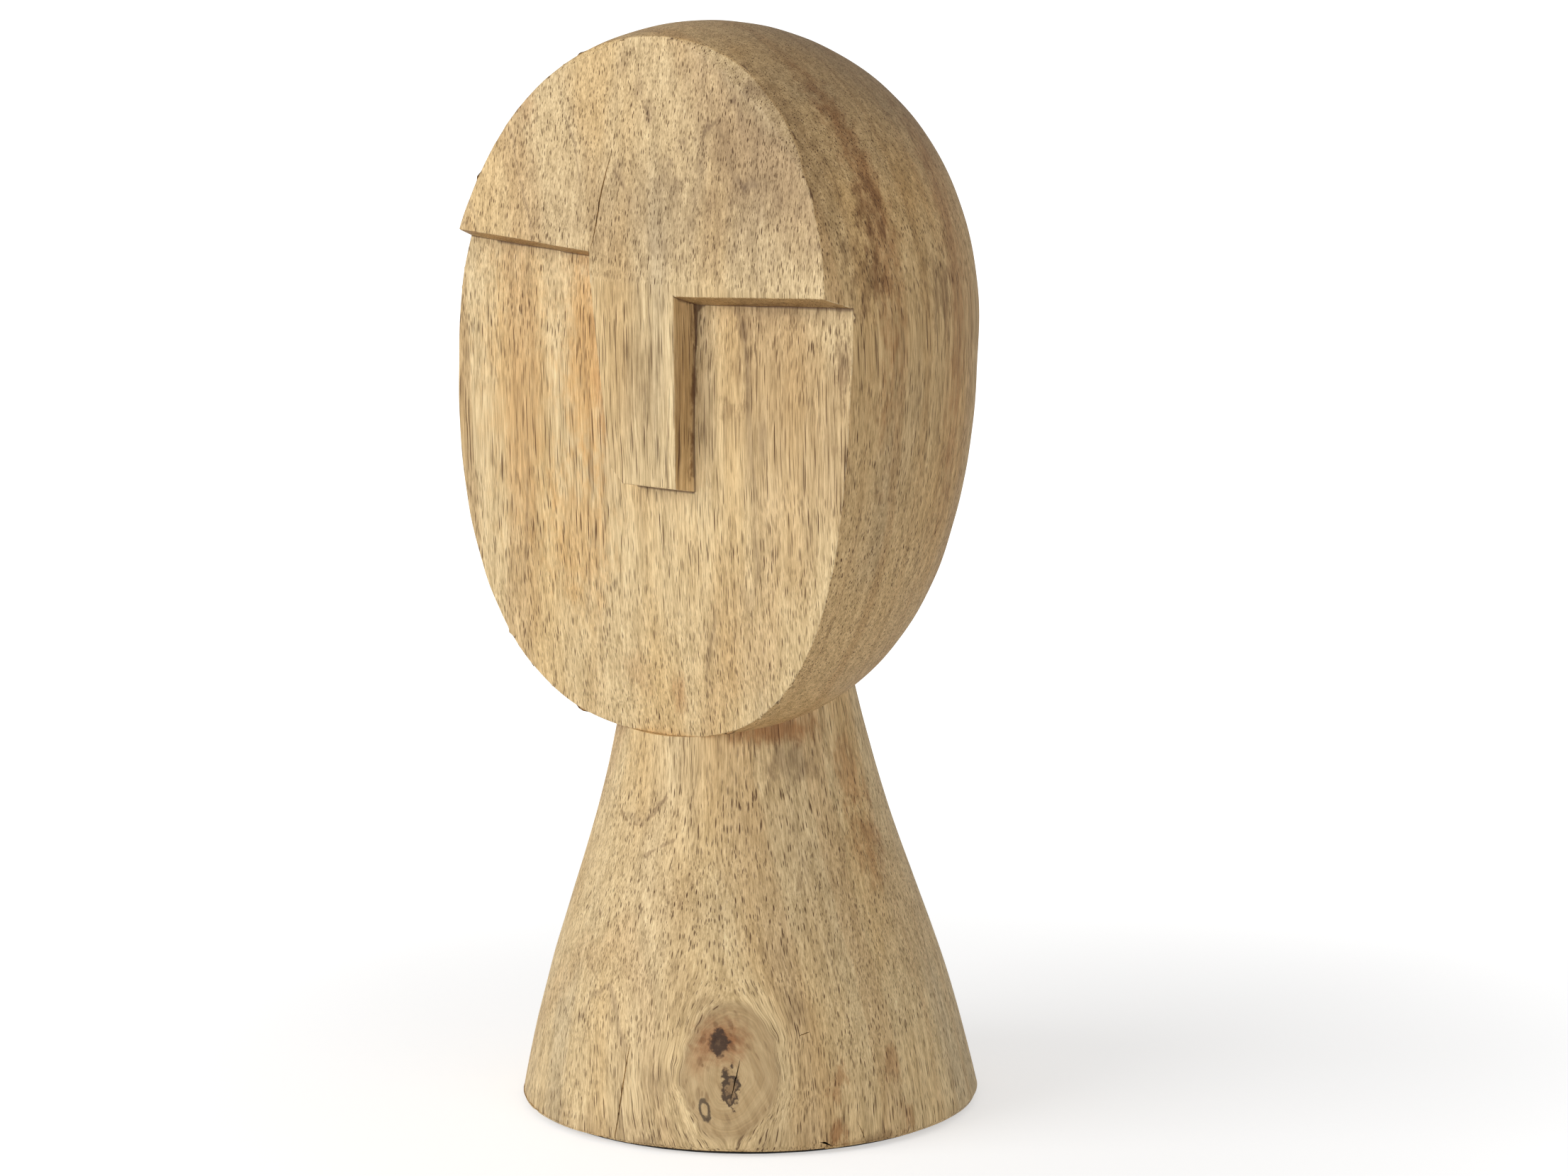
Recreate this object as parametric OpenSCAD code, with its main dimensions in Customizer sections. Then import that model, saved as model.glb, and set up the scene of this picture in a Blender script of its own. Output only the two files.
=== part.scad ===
// Carved wooden head on a turned neck and base.
// +Z up, the face looks towards -Y, the origin is on the floor under the base's centre. Sizes in millimetres.

/* [Head] */
// Half of the head's width at its widest level
head_half_width = 72.5; // [55:0.5:90]
// Half of the head's depth as a full egg, before the face is cut flat
head_half_depth = 80; // [60:0.5:100]
// From the widest level up to the crown
crown_height = 84.5; // [60:0.5:110]
// From the widest level down to the egg's lower end
jaw_height = 109; // [80:0.5:130]
// Fullness of the crown's outline, 2 is an ellipse
crown_fullness = 2.04; // [1.8:0.01:3]
// Fullness of the jaw's outline, 2 is an ellipse
jaw_fullness = 2.59; // [1.8:0.01:3.2]
// How far the egg's centre stands in front of the neck's axis
head_forward = 20.3; // [0:0.1:35]
// Sideways lean of the head, in degrees
head_lean = 2.6; // [-6:0.1:6]

/* [Face] */
// How far the brow ridge stands in front of the egg's centre
brow_forward = 30; // [20:0.1:45]
// Height of the brow ridge, where the forehead's plane meets the nose's, above the widest level
brow_ridge_height = 14.5; // [0:0.5:30]
// Lean of the forehead back towards the crown, in degrees
forehead_lean = 5.3; // [0:0.1:12]
// Lean of the nose's front outwards towards its tip, in degrees
nose_lean = 2.3; // [0:0.1:6]
// Depth of the cheeks behind the brow ridge
relief_depth = 8; // [4:0.5:16]
// Radius of the cheeks' gentle curve from brow to chin
cheek_curve = 600; // [300:10:2000]
// Height at which the cheeks stand furthest forward, above the widest level
cheek_crest_height = -10.5; // [-50:0.5:20]
// Draft of the nose's cut walls, in degrees
wall_draft = 10; // [0:0.5:30]
// Draft of the brows' undersides, in degrees
brow_draft = 18; // [0:0.5:30]

/* [Nose and brows] */
// Height at which the nose's top width is taken, above the widest level
nose_top_height = 12.5; // [-5:0.5:25]
// Edge of the nose's front on the +X side, at its top
nose_right_top = 16; // [8:0.25:24]
// Edge of the nose's front on the +X side, at its tip
nose_right_tip = 14.5; // [6:0.25:24]
// Edge of the nose's front on the -X side, at its top
nose_left_top = 13.5; // [8:0.25:24]
// Edge of the nose's front on the -X side, at its tip
nose_left_tip = 8; // [4:0.25:24]
// Height of the nose's tip, above the widest level
nose_tip_height = -38; // [-70:0.5:-20]
// Cut across the tip's corner on the -X side
tip_corner = 4; // [1:0.25:8]
// Height of the inner end of the brow on the +X side, above the widest level
right_brow_height = 13; // [-5:0.5:25]
// Height of the inner end of the brow on the -X side, above the widest level
left_brow_height = 23.5; // [-5:0.5:30]
// Rise of the +X brow towards the side of the head, in degrees
right_brow_rise = 2.5; // [-8:0.5:15]
// Rise of the -X brow towards the side of the head, in degrees
left_brow_rise = 4.5; // [-8:0.5:15]

/* [Neck and base] */
// Widest radius of the base
base_radius = 64.5; // [50:0.5:80]
// Radius that the outline comes down to at the end of its run
neck_radius = 31.8; // [24:0.1:42]
// From the floor up to the egg's lower end
neck_height = 106.5; // [80:0.5:140]
// How far above that height the outline's run ends
neck_overrun = 12.5; // [5:0.5:25]
// Swell of the outline's lower part and hollow of its upper part
neck_swell = 0.23; // [0:0.01:0.6]
// Eased edge around the foot
foot_ease = 1.5; // [0.5:0.25:4]
// Lean of the turned axis, in degrees
neck_lean = 1.5; // [0:0.1:4]
// Direction that the turned axis leans in, measured from +X
neck_lean_direction = 235; // [0:5:360]

/* [Dowel and felt] */
// Radius of the dowel inside the neck and head
dowel_radius = 8; // [5:0.5:12]
// Length of the dowel
dowel_length = 60; // [40:1:80]
// Bevel at the dowel's ends
dowel_bevel = 1; // [0.5:0.25:2]
// Glue film around the dowel
glue_film = 0.1; // [0.05:0.05:0.3]
// Free depth for glue beyond each end of the dowel
glue_gap = 2; // [0.5:0.5:5]
// Radius of the glue grooves along the dowel
groove_radius = 0.6; // [0.3:0.1:1.2]
// Number of glue grooves
groove_count = 12; // [6:1:20]
// Thickness of the felt disc
felt_thickness = 1.2; // [0.8:0.1:3]
// How far the felt's edge stays inside the foot's widest radius
felt_inset = 4; // [2:0.5:12]

/* [Hidden] */
wood = [0.80, 0.66, 0.44];
dark_wood = [0.70, 0.52, 0.32];
felt = [0.12, 0.11, 0.10];
far = 400;
egg_steps = 26;
neck_steps = 30;
head_centre_height = neck_height + jaw_height;
neck_run = neck_height + neck_overrun;
neck_foot = -8;
// Up to this height the turned outline is one straight run, so that the eased edge is cut in a single cone
foot_run = 8;
// The dowel's middle is where the neck's axis meets the egg
dowel_height = egg_underside(head_forward);
// The turned body is longer than the neck, so that the egg cuts all of its top
neck_top = egg_underside(head_forward + neck_at(neck_height)) + 15;

// The egg's radius, as a share of its full radius, at a height s from its widest level
function egg(s) = s >= 0
    ? pow(1 - pow(s / crown_height, crown_fullness), 1 / crown_fullness)
    : pow(1 - pow(-s / jaw_height, jaw_fullness), 1 / jaw_fullness);

// Height of the egg's underside, straight behind or in front of its middle
function egg_underside(away) = head_centre_height
    - jaw_height * pow(1 - pow(away / head_half_depth, jaw_fullness), 1 / jaw_fullness);

egg_outline = concat(
    [[0, -jaw_height]],
    [for (i = [1:egg_steps - 1]) let (s = -jaw_height * cos(90 * i / egg_steps)) [egg(s), s]],
    [[1, 0]],
    [for (i = [1:egg_steps - 1]) let (s = crown_height * sin(90 * i / egg_steps)) [egg(s), s]],
    [[0, crown_height]]
);

// The turned outline's radius at a height z
function neck_at(z) = neck_radius + (base_radius - neck_radius)
    * (1 - z / neck_run + neck_swell * sin(360 * z / neck_run) / (2 * PI));

module egg_body() {
    translate([0, -head_forward, head_centre_height])
        multmatrix([[1, 0, tan(head_lean), 0], [0, 1, 0, 0], [0, 0, 1, 0], [0, 0, 0, 1]])
            scale([head_half_width, head_half_depth, 1])
                rotate_extrude($fn = 96)
                    polygon(egg_outline);
}

// Everything in front of a plane that crosses the brow ridge
module in_front_of_plane(lean) {
    translate([0, -head_forward - brow_forward, head_centre_height + brow_ridge_height])
        rotate([-lean, 0, 0])
            translate([-far / 2, -far, -far / 2])
                cube([far, far, far]);
}

// Everything on one side of a cut wall of the relief, with its draft. Turned by 0 it keeps the -X side.
module behind_wall(x, z, turn, draft = wall_draft) {
    translate([x, -head_forward - brow_forward, head_centre_height + z])
        rotate([0, turn, 0])
            rotate([0, 0, -draft])
                translate([-far, -far / 2, -far / 2])
                    cube([far, far, far]);
}

module nose_block() {
    drop = nose_top_height - nose_tip_height;
    intersection() {
        behind_wall(nose_right_top, nose_top_height, atan((nose_right_top - nose_right_tip) / drop));
        behind_wall(-nose_left_top, nose_top_height, 180 - atan((nose_left_top - nose_left_tip) / drop));
        behind_wall(0, nose_tip_height, 90);
        behind_wall(-nose_left_tip + tip_corner, nose_tip_height, 135);
    }
}

module brow_block() {
    intersection() {
        behind_wall(nose_right_top, right_brow_height, 90 - right_brow_rise, brow_draft);
        translate([0, -far / 2, 0]) cube([far, far, far]);
    }
    intersection() {
        behind_wall(-nose_left_top, left_brow_height, 90 + left_brow_rise, brow_draft);
        translate([-far, -far / 2, 0]) cube([far, far, far]);
    }
}

// What is carved away in front of the cheeks, around the brows and the nose
module cheek_pocket() {
    difference() {
        translate([-far / 2, -far / 2 - head_forward, neck_height - 20])
            cube([far, far / 2, jaw_height + left_brow_height + 40]);
        translate([-far / 2 - 1, cheek_curve + relief_depth - head_forward - brow_forward,
                   head_centre_height + cheek_crest_height])
            rotate([0, 90, 0])
                cylinder(r = cheek_curve, h = far + 2, $fn = 360);
        brow_block();
        nose_block();
    }
}

module dowel_bore() {
    translate([0, 0, dowel_height - dowel_length / 2 - glue_gap])
        cylinder(r = dowel_radius + glue_film, h = dowel_length + 2 * glue_gap, $fn = 48);
}

module head() {
    color(wood)
        difference() {
            egg_body();
            in_front_of_plane(forehead_lean);
            in_front_of_plane(nose_lean);
            cheek_pocket();
            dowel_bore();
        }
}

module turned_body() {
    rotate(a = neck_lean, v = [-sin(neck_lean_direction), cos(neck_lean_direction), 0])
        rotate_extrude($fn = 96)
            polygon(concat(
                [[0, neck_foot]],
                [[neck_at(neck_foot), neck_foot]],
                [for (i = [0:neck_steps]) let (z = foot_run + (neck_top - foot_run) * i / neck_steps)
                    [neck_at(z), z]],
                [[0, neck_top]]
            ));
}

module neck_base() {
    color(wood)
        difference() {
            intersection() {
                turned_body();
                translate([0, 0, felt_thickness])
                    cylinder(r1 = base_radius - foot_ease, r2 = base_radius - foot_ease + far, h = far, $fn = 96);
            }
            egg_body();
            dowel_bore();
        }
}

module neck_dowel() {
    color(dark_wood)
        translate([0, 0, dowel_height - dowel_length / 2])
            difference() {
                rotate_extrude($fn = 48)
                    polygon([[0, 0], [dowel_radius - dowel_bevel, 0], [dowel_radius, dowel_bevel],
                             [dowel_radius, dowel_length - dowel_bevel],
                             [dowel_radius - dowel_bevel, dowel_length], [0, dowel_length]]);
                for (i = [0:groove_count - 1])
                    rotate([0, 0, 360 * i / groove_count])
                        translate([dowel_radius, 0, -1])
                            cylinder(r = groove_radius, h = dowel_length + 2, $fn = 24);
            }
}

module felt_disc() {
    color(felt)
        cylinder(r = base_radius - felt_inset, h = felt_thickness, $fn = 96);
}

head();
neck_base();
neck_dowel();
felt_disc();
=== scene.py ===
"""Carved wooden head on a turned neck and base: its shapes, its wood and its studio."""

import math

import bmesh
import bpy
from bpy.props import FloatProperty, FloatVectorProperty, PointerProperty
from mathutils import Matrix, Vector, noise


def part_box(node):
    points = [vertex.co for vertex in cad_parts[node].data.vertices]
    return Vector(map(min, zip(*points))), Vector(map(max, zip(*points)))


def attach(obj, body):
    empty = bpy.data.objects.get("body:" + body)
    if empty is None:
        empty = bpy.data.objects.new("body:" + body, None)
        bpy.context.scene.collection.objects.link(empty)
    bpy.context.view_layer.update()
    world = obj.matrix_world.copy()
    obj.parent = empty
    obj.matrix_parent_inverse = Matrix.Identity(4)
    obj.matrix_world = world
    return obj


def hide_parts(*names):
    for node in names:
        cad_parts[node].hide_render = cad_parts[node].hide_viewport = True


bl_info = {
    "name": "Carved wooden head",
    "version": (1, 0, 0),
    "blender": (4, 5, 0),
    "location": "3D View > Sidebar > Carved head",
    "description": "Builds a carved wooden head on a turned base, with its wood and its studio",
    "category": "Object",
}

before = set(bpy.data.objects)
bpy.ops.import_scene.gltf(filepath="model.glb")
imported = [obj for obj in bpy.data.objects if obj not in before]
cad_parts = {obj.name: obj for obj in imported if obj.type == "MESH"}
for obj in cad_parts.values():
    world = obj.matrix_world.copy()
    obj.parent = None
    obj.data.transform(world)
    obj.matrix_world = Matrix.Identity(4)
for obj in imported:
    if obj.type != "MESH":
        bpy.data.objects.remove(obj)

MM = 0.001
HEAD_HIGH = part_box("head")[1]
DOWEL_LOW, DOWEL_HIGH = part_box("neck_dowel")
FELT_LOW, FELT_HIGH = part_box("felt_disc")
# Further than any part of the object reaches
FAR = 0.4
# Which draw of the hand-cut unevenness is taken
HAND = 1
# That unevenness: swell, its length, wander, its length, and its own part of the draw
HEAD_HAND = (0.35 * MM, 34 * MM, 0.16 * MM, 11 * MM, 3)
BASE_HAND = (0.3 * MM, 40 * MM, 0.12 * MM, 13 * MM, 8)
# How finely the egg's cube is divided, and how far apart the flat faces are split
EGG_CUTS = 72
FLAT_SPACING = 1.9 * MM


def length(text, about, default):
    """A length that a user may change, in metres."""
    return FloatProperty(name=text, description=about, default=default, unit="LENGTH", precision=4)


def angle(text, about, degrees):
    """An angle that a user may change."""
    return FloatProperty(name=text, description=about, default=math.radians(degrees), unit="ROTATION")


def number(text, about, default):
    """A plain number that a user may change."""
    return FloatProperty(name=text, description=about, default=default)


def tone(text, about, red, green, blue):
    """A colour that a user may change."""
    return FloatVectorProperty(
        name=text, description=about, default=(red, green, blue), subtype="COLOR", size=3, min=0, max=1
    )


class HeadSizes(bpy.types.PropertyGroup):
    """Sizes of the carved head."""

    half_width: length("Half width", "Half of the head's width at its widest level", 72.5 * MM)
    half_depth: length("Half depth", "Half of the head's depth as a full egg", 80 * MM)
    forward: length("Forward", "How far the egg's middle stands in front of the neck", 20.3 * MM)
    crown: length("Crown", "Height of the crown above the floor", HEAD_HIGH.z)
    chin: length("Chin", "Height of the egg's lower end above the floor", 106.5 * MM)
    widest: length("Widest level", "Height of the widest level above the floor", 215.5 * MM)
    crown_fullness: number("Crown fullness", "Fullness of the crown's outline, 2 is an ellipse", 2.04)
    jaw_fullness: number("Jaw fullness", "Fullness of the jaw's outline, 2 is an ellipse", 2.59)
    lean: angle("Lean", "Sideways lean of the head", 2.6)
    brow_forward: length("Brow forward", "How far the brow ridge stands before the egg's middle", 30 * MM)
    brow_ridge: length("Brow ridge", "Height where forehead and nose meet", 230 * MM)
    forehead_lean: angle("Forehead lean", "Lean of the forehead back towards the crown", 5.3)
    nose_lean: angle("Nose lean", "Lean of the nose outwards towards its tip", 2.3)
    relief: length("Relief", "Depth of the cheeks behind the brow ridge", 8 * MM)
    cheek_curve: length("Cheek curve", "Radius of the cheeks' curve from brow to chin", 600 * MM)
    cheek_crest: length("Cheek crest", "Height where the cheeks stand furthest forward", 205 * MM)
    draft: angle("Draft", "Draft of the nose's walls", 10)
    brow_draft: angle("Brow draft", "Draft of the brows' undersides", 18)
    edge: length("Edge", "Width of the rubbed edges", 0.55 * MM)


class NoseSizes(bpy.types.PropertyGroup):
    """Sizes of the nose and the brows."""

    top: length("Top", "Height at which the nose's top width is taken", 228 * MM)
    tip: length("Tip", "Height of the nose's tip", 177.5 * MM)
    right_top: length("Right top", "Edge of the nose on the +X side, at its top", 16 * MM)
    right_tip: length("Right tip", "Edge of the nose on the +X side, at its tip", 14.5 * MM)
    left_top: length("Left top", "Edge of the nose on the -X side, at its top", 13.5 * MM)
    left_tip: length("Left tip", "Edge of the nose on the -X side, at its tip", 8 * MM)
    corner: length("Tip corner", "Cut across the tip's corner on the -X side", 4 * MM)
    right_brow: length("Right brow", "Height of the inner end of the +X brow", 228.5 * MM)
    left_brow: length("Left brow", "Height of the inner end of the -X brow", 239 * MM)
    right_rise: angle("Right rise", "Rise of the +X brow towards the side", 2.5)
    left_rise: angle("Left rise", "Rise of the -X brow towards the side", 4.5)


class BaseSizes(bpy.types.PropertyGroup):
    """Sizes of the turned neck and base, the dowel's bore and the felt."""

    base_radius: length("Base radius", "Widest radius of the base", 64.5 * MM)
    neck_radius: length("Neck radius", "Radius at the end of the outline's run", 31.8 * MM)
    run: length("Run", "Height over which the outline runs from base to neck", 119 * MM)
    swell: number("Swell", "Swell of the outline's lower part", 0.23)
    lean: angle("Lean", "Lean of the turned axis", 1.5)
    lean_direction: angle("Lean direction", "Direction of that lean, from +X", 235)
    foot: length("Foot", "Height of the wood's foot over the floor", FELT_HIGH.z)
    foot_ease: length("Foot ease", "Eased edge around the foot", 1.5 * MM)
    bore: length("Bore", "Radius of the dowel's bore", (DOWEL_HIGH.x - DOWEL_LOW.x) / 2 + 0.1 * MM)
    bore_gap: length("Bore gap", "Free depth beyond each end of the dowel", 2 * MM)


class WoodTones(bpy.types.PropertyGroup):
    """Colours of the wood, the dowel and the felt."""

    pale: tone("Pale", "Pale wood of the face", 0.790, 0.585, 0.310)
    honey: tone("Honey", "Warm streaks", 0.740, 0.470, 0.180)
    ash: tone("Ash", "Greyish streaks", 0.590, 0.470, 0.290)
    amber: tone("Amber", "Warm tint beside the nose and on the chin", 0.950, 0.700, 0.400)
    # Rust also paints shade under the head on the neck
    rust: tone("Rust", "Orange-brown stains", 0.480, 0.235, 0.070)
    # Umber also paints the shadow line at the foot of the nose's +X wall
    umber: tone("Umber", "Brown blotches and growth lines", 0.240, 0.140, 0.070)
    # Violet also paints the shadows beside the nose and under the brows, and shade under the head on the neck
    violet: tone("Violet", "Grey-violet stains", 0.260, 0.180, 0.140)
    olive: tone("Olive", "Darker smooth wood of the nose's wall", 0.400, 0.275, 0.120)
    # The pore colour also paints the dirt and the painted shade in the concave creases
    pore_and_crease_shade: tone("Pore", "Open vessels", 0.115, 0.050, 0.020)
    worn: tone("Worn", "Rubbed edges", 0.820, 0.680, 0.430)
    knot: tone("Knot", "Dark heart of the knots", 0.045, 0.028, 0.020)
    dowel: tone("Dowel", "Beech of the dowel", 0.640, 0.430, 0.240)
    felt: tone("Felt", "Felt under the base", 0.030, 0.027, 0.024)


class StudioSettings(bpy.types.PropertyGroup):
    """Camera and light."""

    distance: length("Distance", "From the camera to the point it looks at", 1.15)
    azimuth: angle("Azimuth", "Turn of the camera from the face's front", 39.52)
    height_angle: angle("Height angle", "How far the camera looks down", 9.22)
    aim: FloatVectorProperty(
        name="Aim", description="The point that the camera looks at", default=(0.0168, -0.0054, 0.1461),
        size=3, subtype="XYZ", unit="LENGTH",
    )
    lens: number("Lens", "Focal length on a 36 mm sensor", 96.83)
    key: number("Key", "Power of the large light in front, in watts", 16)
    fill: number("Fill", "Power of the light on the right, in watts", 6.5)
    surround: number("Surround", "Brightness of the room on the object", 0.38)


# ---------------------------------------------------------------- mesh tools


def mesh_object(name, bm):
    """Makes an object of a bmesh, at the origin."""
    mesh = bpy.data.meshes.new(name)
    bm.to_mesh(mesh)
    bm.free()
    piece = bpy.data.objects.new(name, mesh)
    bpy.context.scene.collection.objects.link(piece)
    return piece


def opened(piece):
    """The piece's mesh as a bmesh."""
    bm = bmesh.new()
    bm.from_mesh(piece.data)
    return bm


def carve(piece, tool):
    """Cuts a tool's shape out of a piece, for good, and throws the tool away."""
    modifier = piece.modifiers.new("carve", "BOOLEAN")
    modifier.operation = "DIFFERENCE"
    modifier.solver = "MANIFOLD"
    modifier.object = tool
    seen = bpy.context.evaluated_depsgraph_get()
    result = bpy.data.meshes.new_from_object(piece.evaluated_get(seen))
    piece.modifiers.clear()
    before = piece.data
    piece.data = result
    result.name = piece.name
    bpy.data.meshes.remove(before)
    used = tool.data
    bpy.data.objects.remove(tool)
    bpy.data.meshes.remove(used)


def cut_away(bm, point, normal, snap=0.0):
    """Removes what lies on the normal's side of a plane and closes the opening."""
    bmesh.ops.bisect_plane(
        bm, geom=bm.verts[:] + bm.edges[:] + bm.faces[:], dist=snap, plane_co=point, plane_no=normal,
        use_snap_center=snap > 0, clear_outer=True,
    )
    rim = [edge for edge in bm.edges if edge.is_boundary]
    bmesh.ops.holes_fill(bm, edges=rim, sides=0)


def block(low, high):
    """A closed block between two corners."""
    bm = bmesh.new()
    bmesh.ops.create_cube(bm, size=1)
    bmesh.ops.scale(bm, vec=Vector(high) - Vector(low), verts=bm.verts)
    bmesh.ops.translate(bm, vec=(Vector(low) + Vector(high)) / 2, verts=bm.verts)
    return bm


def is_sharp(edge, least=math.radians(25)):
    """True where two faces meet at a clear angle."""
    return len(edge.link_faces) == 2 and edge.calc_face_angle(0) > least


def ease_edges(bm, edges, width, segments):
    """Rounds edges a little."""
    bmesh.ops.bevel(
        bm, geom=edges, offset=width, offset_type="OFFSET", affect="EDGES", segments=segments, profile=0.5,
        material=-1, clamp_overlap=False, miter_outer="ARC", loop_slide=True,
    )


def slice_flats(bm, is_flat, spacing):
    """Splits the flat faces by evenly spaced planes, so that they can take a hand-cut unevenness."""
    mark = bm.faces.layers.int.new("flat")
    for face in bm.faces:
        face[mark] = int(is_flat(face))
    for normal in (Vector((1, 0, 0)), Vector((0, 0, 1)), Vector((0, 1, 0))):
        if normal.y:
            for face in bm.faces:
                face[mark] = int(face[mark] and abs(face.normal.y) < 0.5)
        reach = [vert.co.dot(normal) for face in bm.faces if face[mark] for vert in face.verts]
        for step in range(math.ceil(min(reach) / spacing), math.floor(max(reach) / spacing) + 1):
            place = step * spacing
            geometry = set()
            for face in bm.faces:
                if face[mark]:
                    along = [vert.co.dot(normal) for vert in face.verts]
                    if min(along) < place < max(along):
                        geometry.add(face)
                        geometry.update(face.edges)
                        geometry.update(face.verts)
            bmesh.ops.bisect_plane(
                bm, geom=list(geometry), dist=spacing * 0.04, plane_co=normal * place, plane_no=normal
            )
        bm.normal_update()
    bm.faces.layers.int.remove(mark)


def roughen(bm, swell, swell_length, wander, wander_length, seed):
    """Moves a surface as a hand tool leaves it. The swell is only inwards, so the piece doesn't grow."""
    bm.normal_update()
    noise.seed_set(HAND + seed)
    shift = Vector((seed, seed * 2.3, seed * 5.1))
    moves = []
    for vert in bm.verts:
        slow = noise.noise(vert.co / swell_length + shift)
        inward = -swell * (0.5 + 0.5 * slow)
        along = noise.noise_vector(vert.co / wander_length + shift) * wander
        moves.append(vert.normal * (inward - wander) + along)
    for vert, move in zip(bm.verts, moves):
        vert.co += move


def note_edges(bm):
    """Keeps how rubbed or how deep each place is, for the wood's colour: the deep places get dirt and painted
    shade.
    """
    worn = bm.verts.layers.float.new("worn")
    deep = bm.verts.layers.float.new("deep")
    for edge in bm.edges:
        if len(edge.link_faces) == 2:
            turn = edge.calc_face_angle_signed(0)
            share = min(1, abs(turn) / math.radians(30))
            if share > 0.3:
                layer = worn if turn > 0 else deep
                for vert in edge.verts:
                    vert[layer] = max(vert[layer], share)


def finish_piece(bm, name, material, node):
    """Closes a piece: its mesh, its material, its place on the body and the node that it stands for."""
    bmesh.ops.remove_doubles(bm, verts=bm.verts, dist=0.02 * MM)
    bmesh.ops.dissolve_degenerate(bm, edges=bm.edges, dist=0.005 * MM)
    for edge in bm.edges:
        edge.smooth = not is_sharp(edge, math.radians(38))
    for face in bm.faces:
        face.smooth = True
    open_edges = sum(1 for edge in bm.edges if not edge.is_manifold)
    triangles = sum(len(face.verts) - 2 for face in bm.faces)
    print(f"{name}: {triangles} triangles, {open_edges} open edges")
    piece = mesh_object(name, bm)
    piece.data.materials.append(material)
    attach(piece, "root")
    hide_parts(node)


# ---------------------------------------------------------------- the head


def egg_point(sizes, direction):
    """Where a line from the egg's middle leaves the egg."""
    upper = direction.z > 0
    fullness = sizes.crown_fullness if upper else sizes.jaw_fullness
    height = sizes.crown - sizes.widest if upper else sizes.widest - sizes.chin
    around = math.hypot(direction.x, direction.y)
    reach = (abs(direction.z) ** fullness + around ** fullness) ** (-1 / fullness)
    rise = height * direction.z * reach
    return Vector((
        sizes.half_width * direction.x * reach + math.tan(sizes.lean) * rise,
        sizes.half_depth * direction.y * reach - sizes.forward,
        sizes.widest + rise,
    ))


def egg(sizes):
    """The whole egg, from a cube whose faces are divided evenly."""
    bm = bmesh.new()
    bmesh.ops.create_cube(bm, size=2)
    bmesh.ops.subdivide_edges(bm, edges=bm.edges, cuts=EGG_CUTS, use_grid_fill=True)
    for vert in bm.verts:
        spread = Vector([math.tan(part * math.pi / 4) for part in vert.co])
        vert.co = egg_point(sizes, spread.normalized())
    return bm


def front_normal(lean):
    """Outward normal of a plane across the face that leans by an angle about X."""
    return Vector((0, -math.cos(lean), math.sin(lean)))


def wall_cut(bm, x, height, turn, sizes, draft):
    """Cuts a block along a wall of the relief that goes through (x, height) on the face's front."""
    front = Vector((x, -sizes.forward - sizes.brow_forward, height))
    across = Vector((math.cos(turn), 0, -math.sin(turn)))
    out = across * math.cos(draft) + Vector((0, -math.sin(draft), 0))
    cut_away(bm, front, out)


def nose_block(sizes, nose):
    """The nose, from the face's front deep into the head."""
    bm = block((-FAR / 8, -FAR / 2, nose.tip - 0.03), (FAR / 8, FAR / 4, sizes.crown))
    drop = nose.top - nose.tip
    right = math.atan((nose.right_top - nose.right_tip) / drop)
    left = math.atan((nose.left_top - nose.left_tip) / drop)
    wall_cut(bm, nose.right_top, nose.top, right, sizes, sizes.draft)
    wall_cut(bm, -nose.left_top, nose.top, math.pi - left, sizes, sizes.draft)
    wall_cut(bm, 0, nose.tip, math.pi / 2, sizes, sizes.draft)
    wall_cut(bm, nose.corner - nose.left_tip, nose.tip, math.radians(135), sizes, sizes.draft)
    return bm


def brow_block(sizes, nose, right):
    """One brow and the forehead over it, as a block that reaches past the head's side."""
    low, high = (0, FAR / 2) if right else (-FAR / 2, 0)
    bm = block((low, -FAR / 2, nose.tip), (high, FAR / 4, sizes.crown + 0.1))
    if right:
        wall_cut(bm, nose.right_top, nose.right_brow, math.pi / 2 - nose.right_rise, sizes, sizes.brow_draft)
    else:
        wall_cut(bm, -nose.left_top, nose.left_brow, math.pi / 2 + nose.left_rise, sizes, sizes.brow_draft)
    return bm


def cheek_tool(sizes, nose):
    """What is carved away in front of the cheeks, round the brows and the nose."""
    depth = sizes.cheek_curve + sizes.relief - sizes.forward - sizes.brow_forward
    axis = Vector((0, depth, sizes.cheek_crest))
    bm = bmesh.new()
    reach = math.radians(13)
    first = Matrix.Rotation(-reach, 4, "X") @ Vector((0, -sizes.cheek_curve, 0))
    left = bm.verts.new(axis + first + Vector((-FAR / 3, 0, 0)))
    right = bm.verts.new(axis + first + Vector((FAR / 3, 0, 0)))
    line = bm.edges.new((left, right))
    bmesh.ops.spin(bm, geom=[line], cent=axis, axis=(1, 0, 0), angle=2 * reach, steps=52, use_duplicate=False)
    made = bmesh.ops.extrude_face_region(bm, geom=bm.faces[:])
    moved = [part for part in made["geom"] if isinstance(part, bmesh.types.BMVert)]
    bmesh.ops.translate(bm, vec=(0, -FAR / 3, 0), verts=moved)
    bmesh.ops.recalc_face_normals(bm, faces=bm.faces)
    tool = mesh_object("cheek_tool", bm)
    for part in (brow_block(sizes, nose, True), brow_block(sizes, nose, False), nose_block(sizes, nose)):
        carve(tool, mesh_object("keep", part))
    return tool


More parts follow.
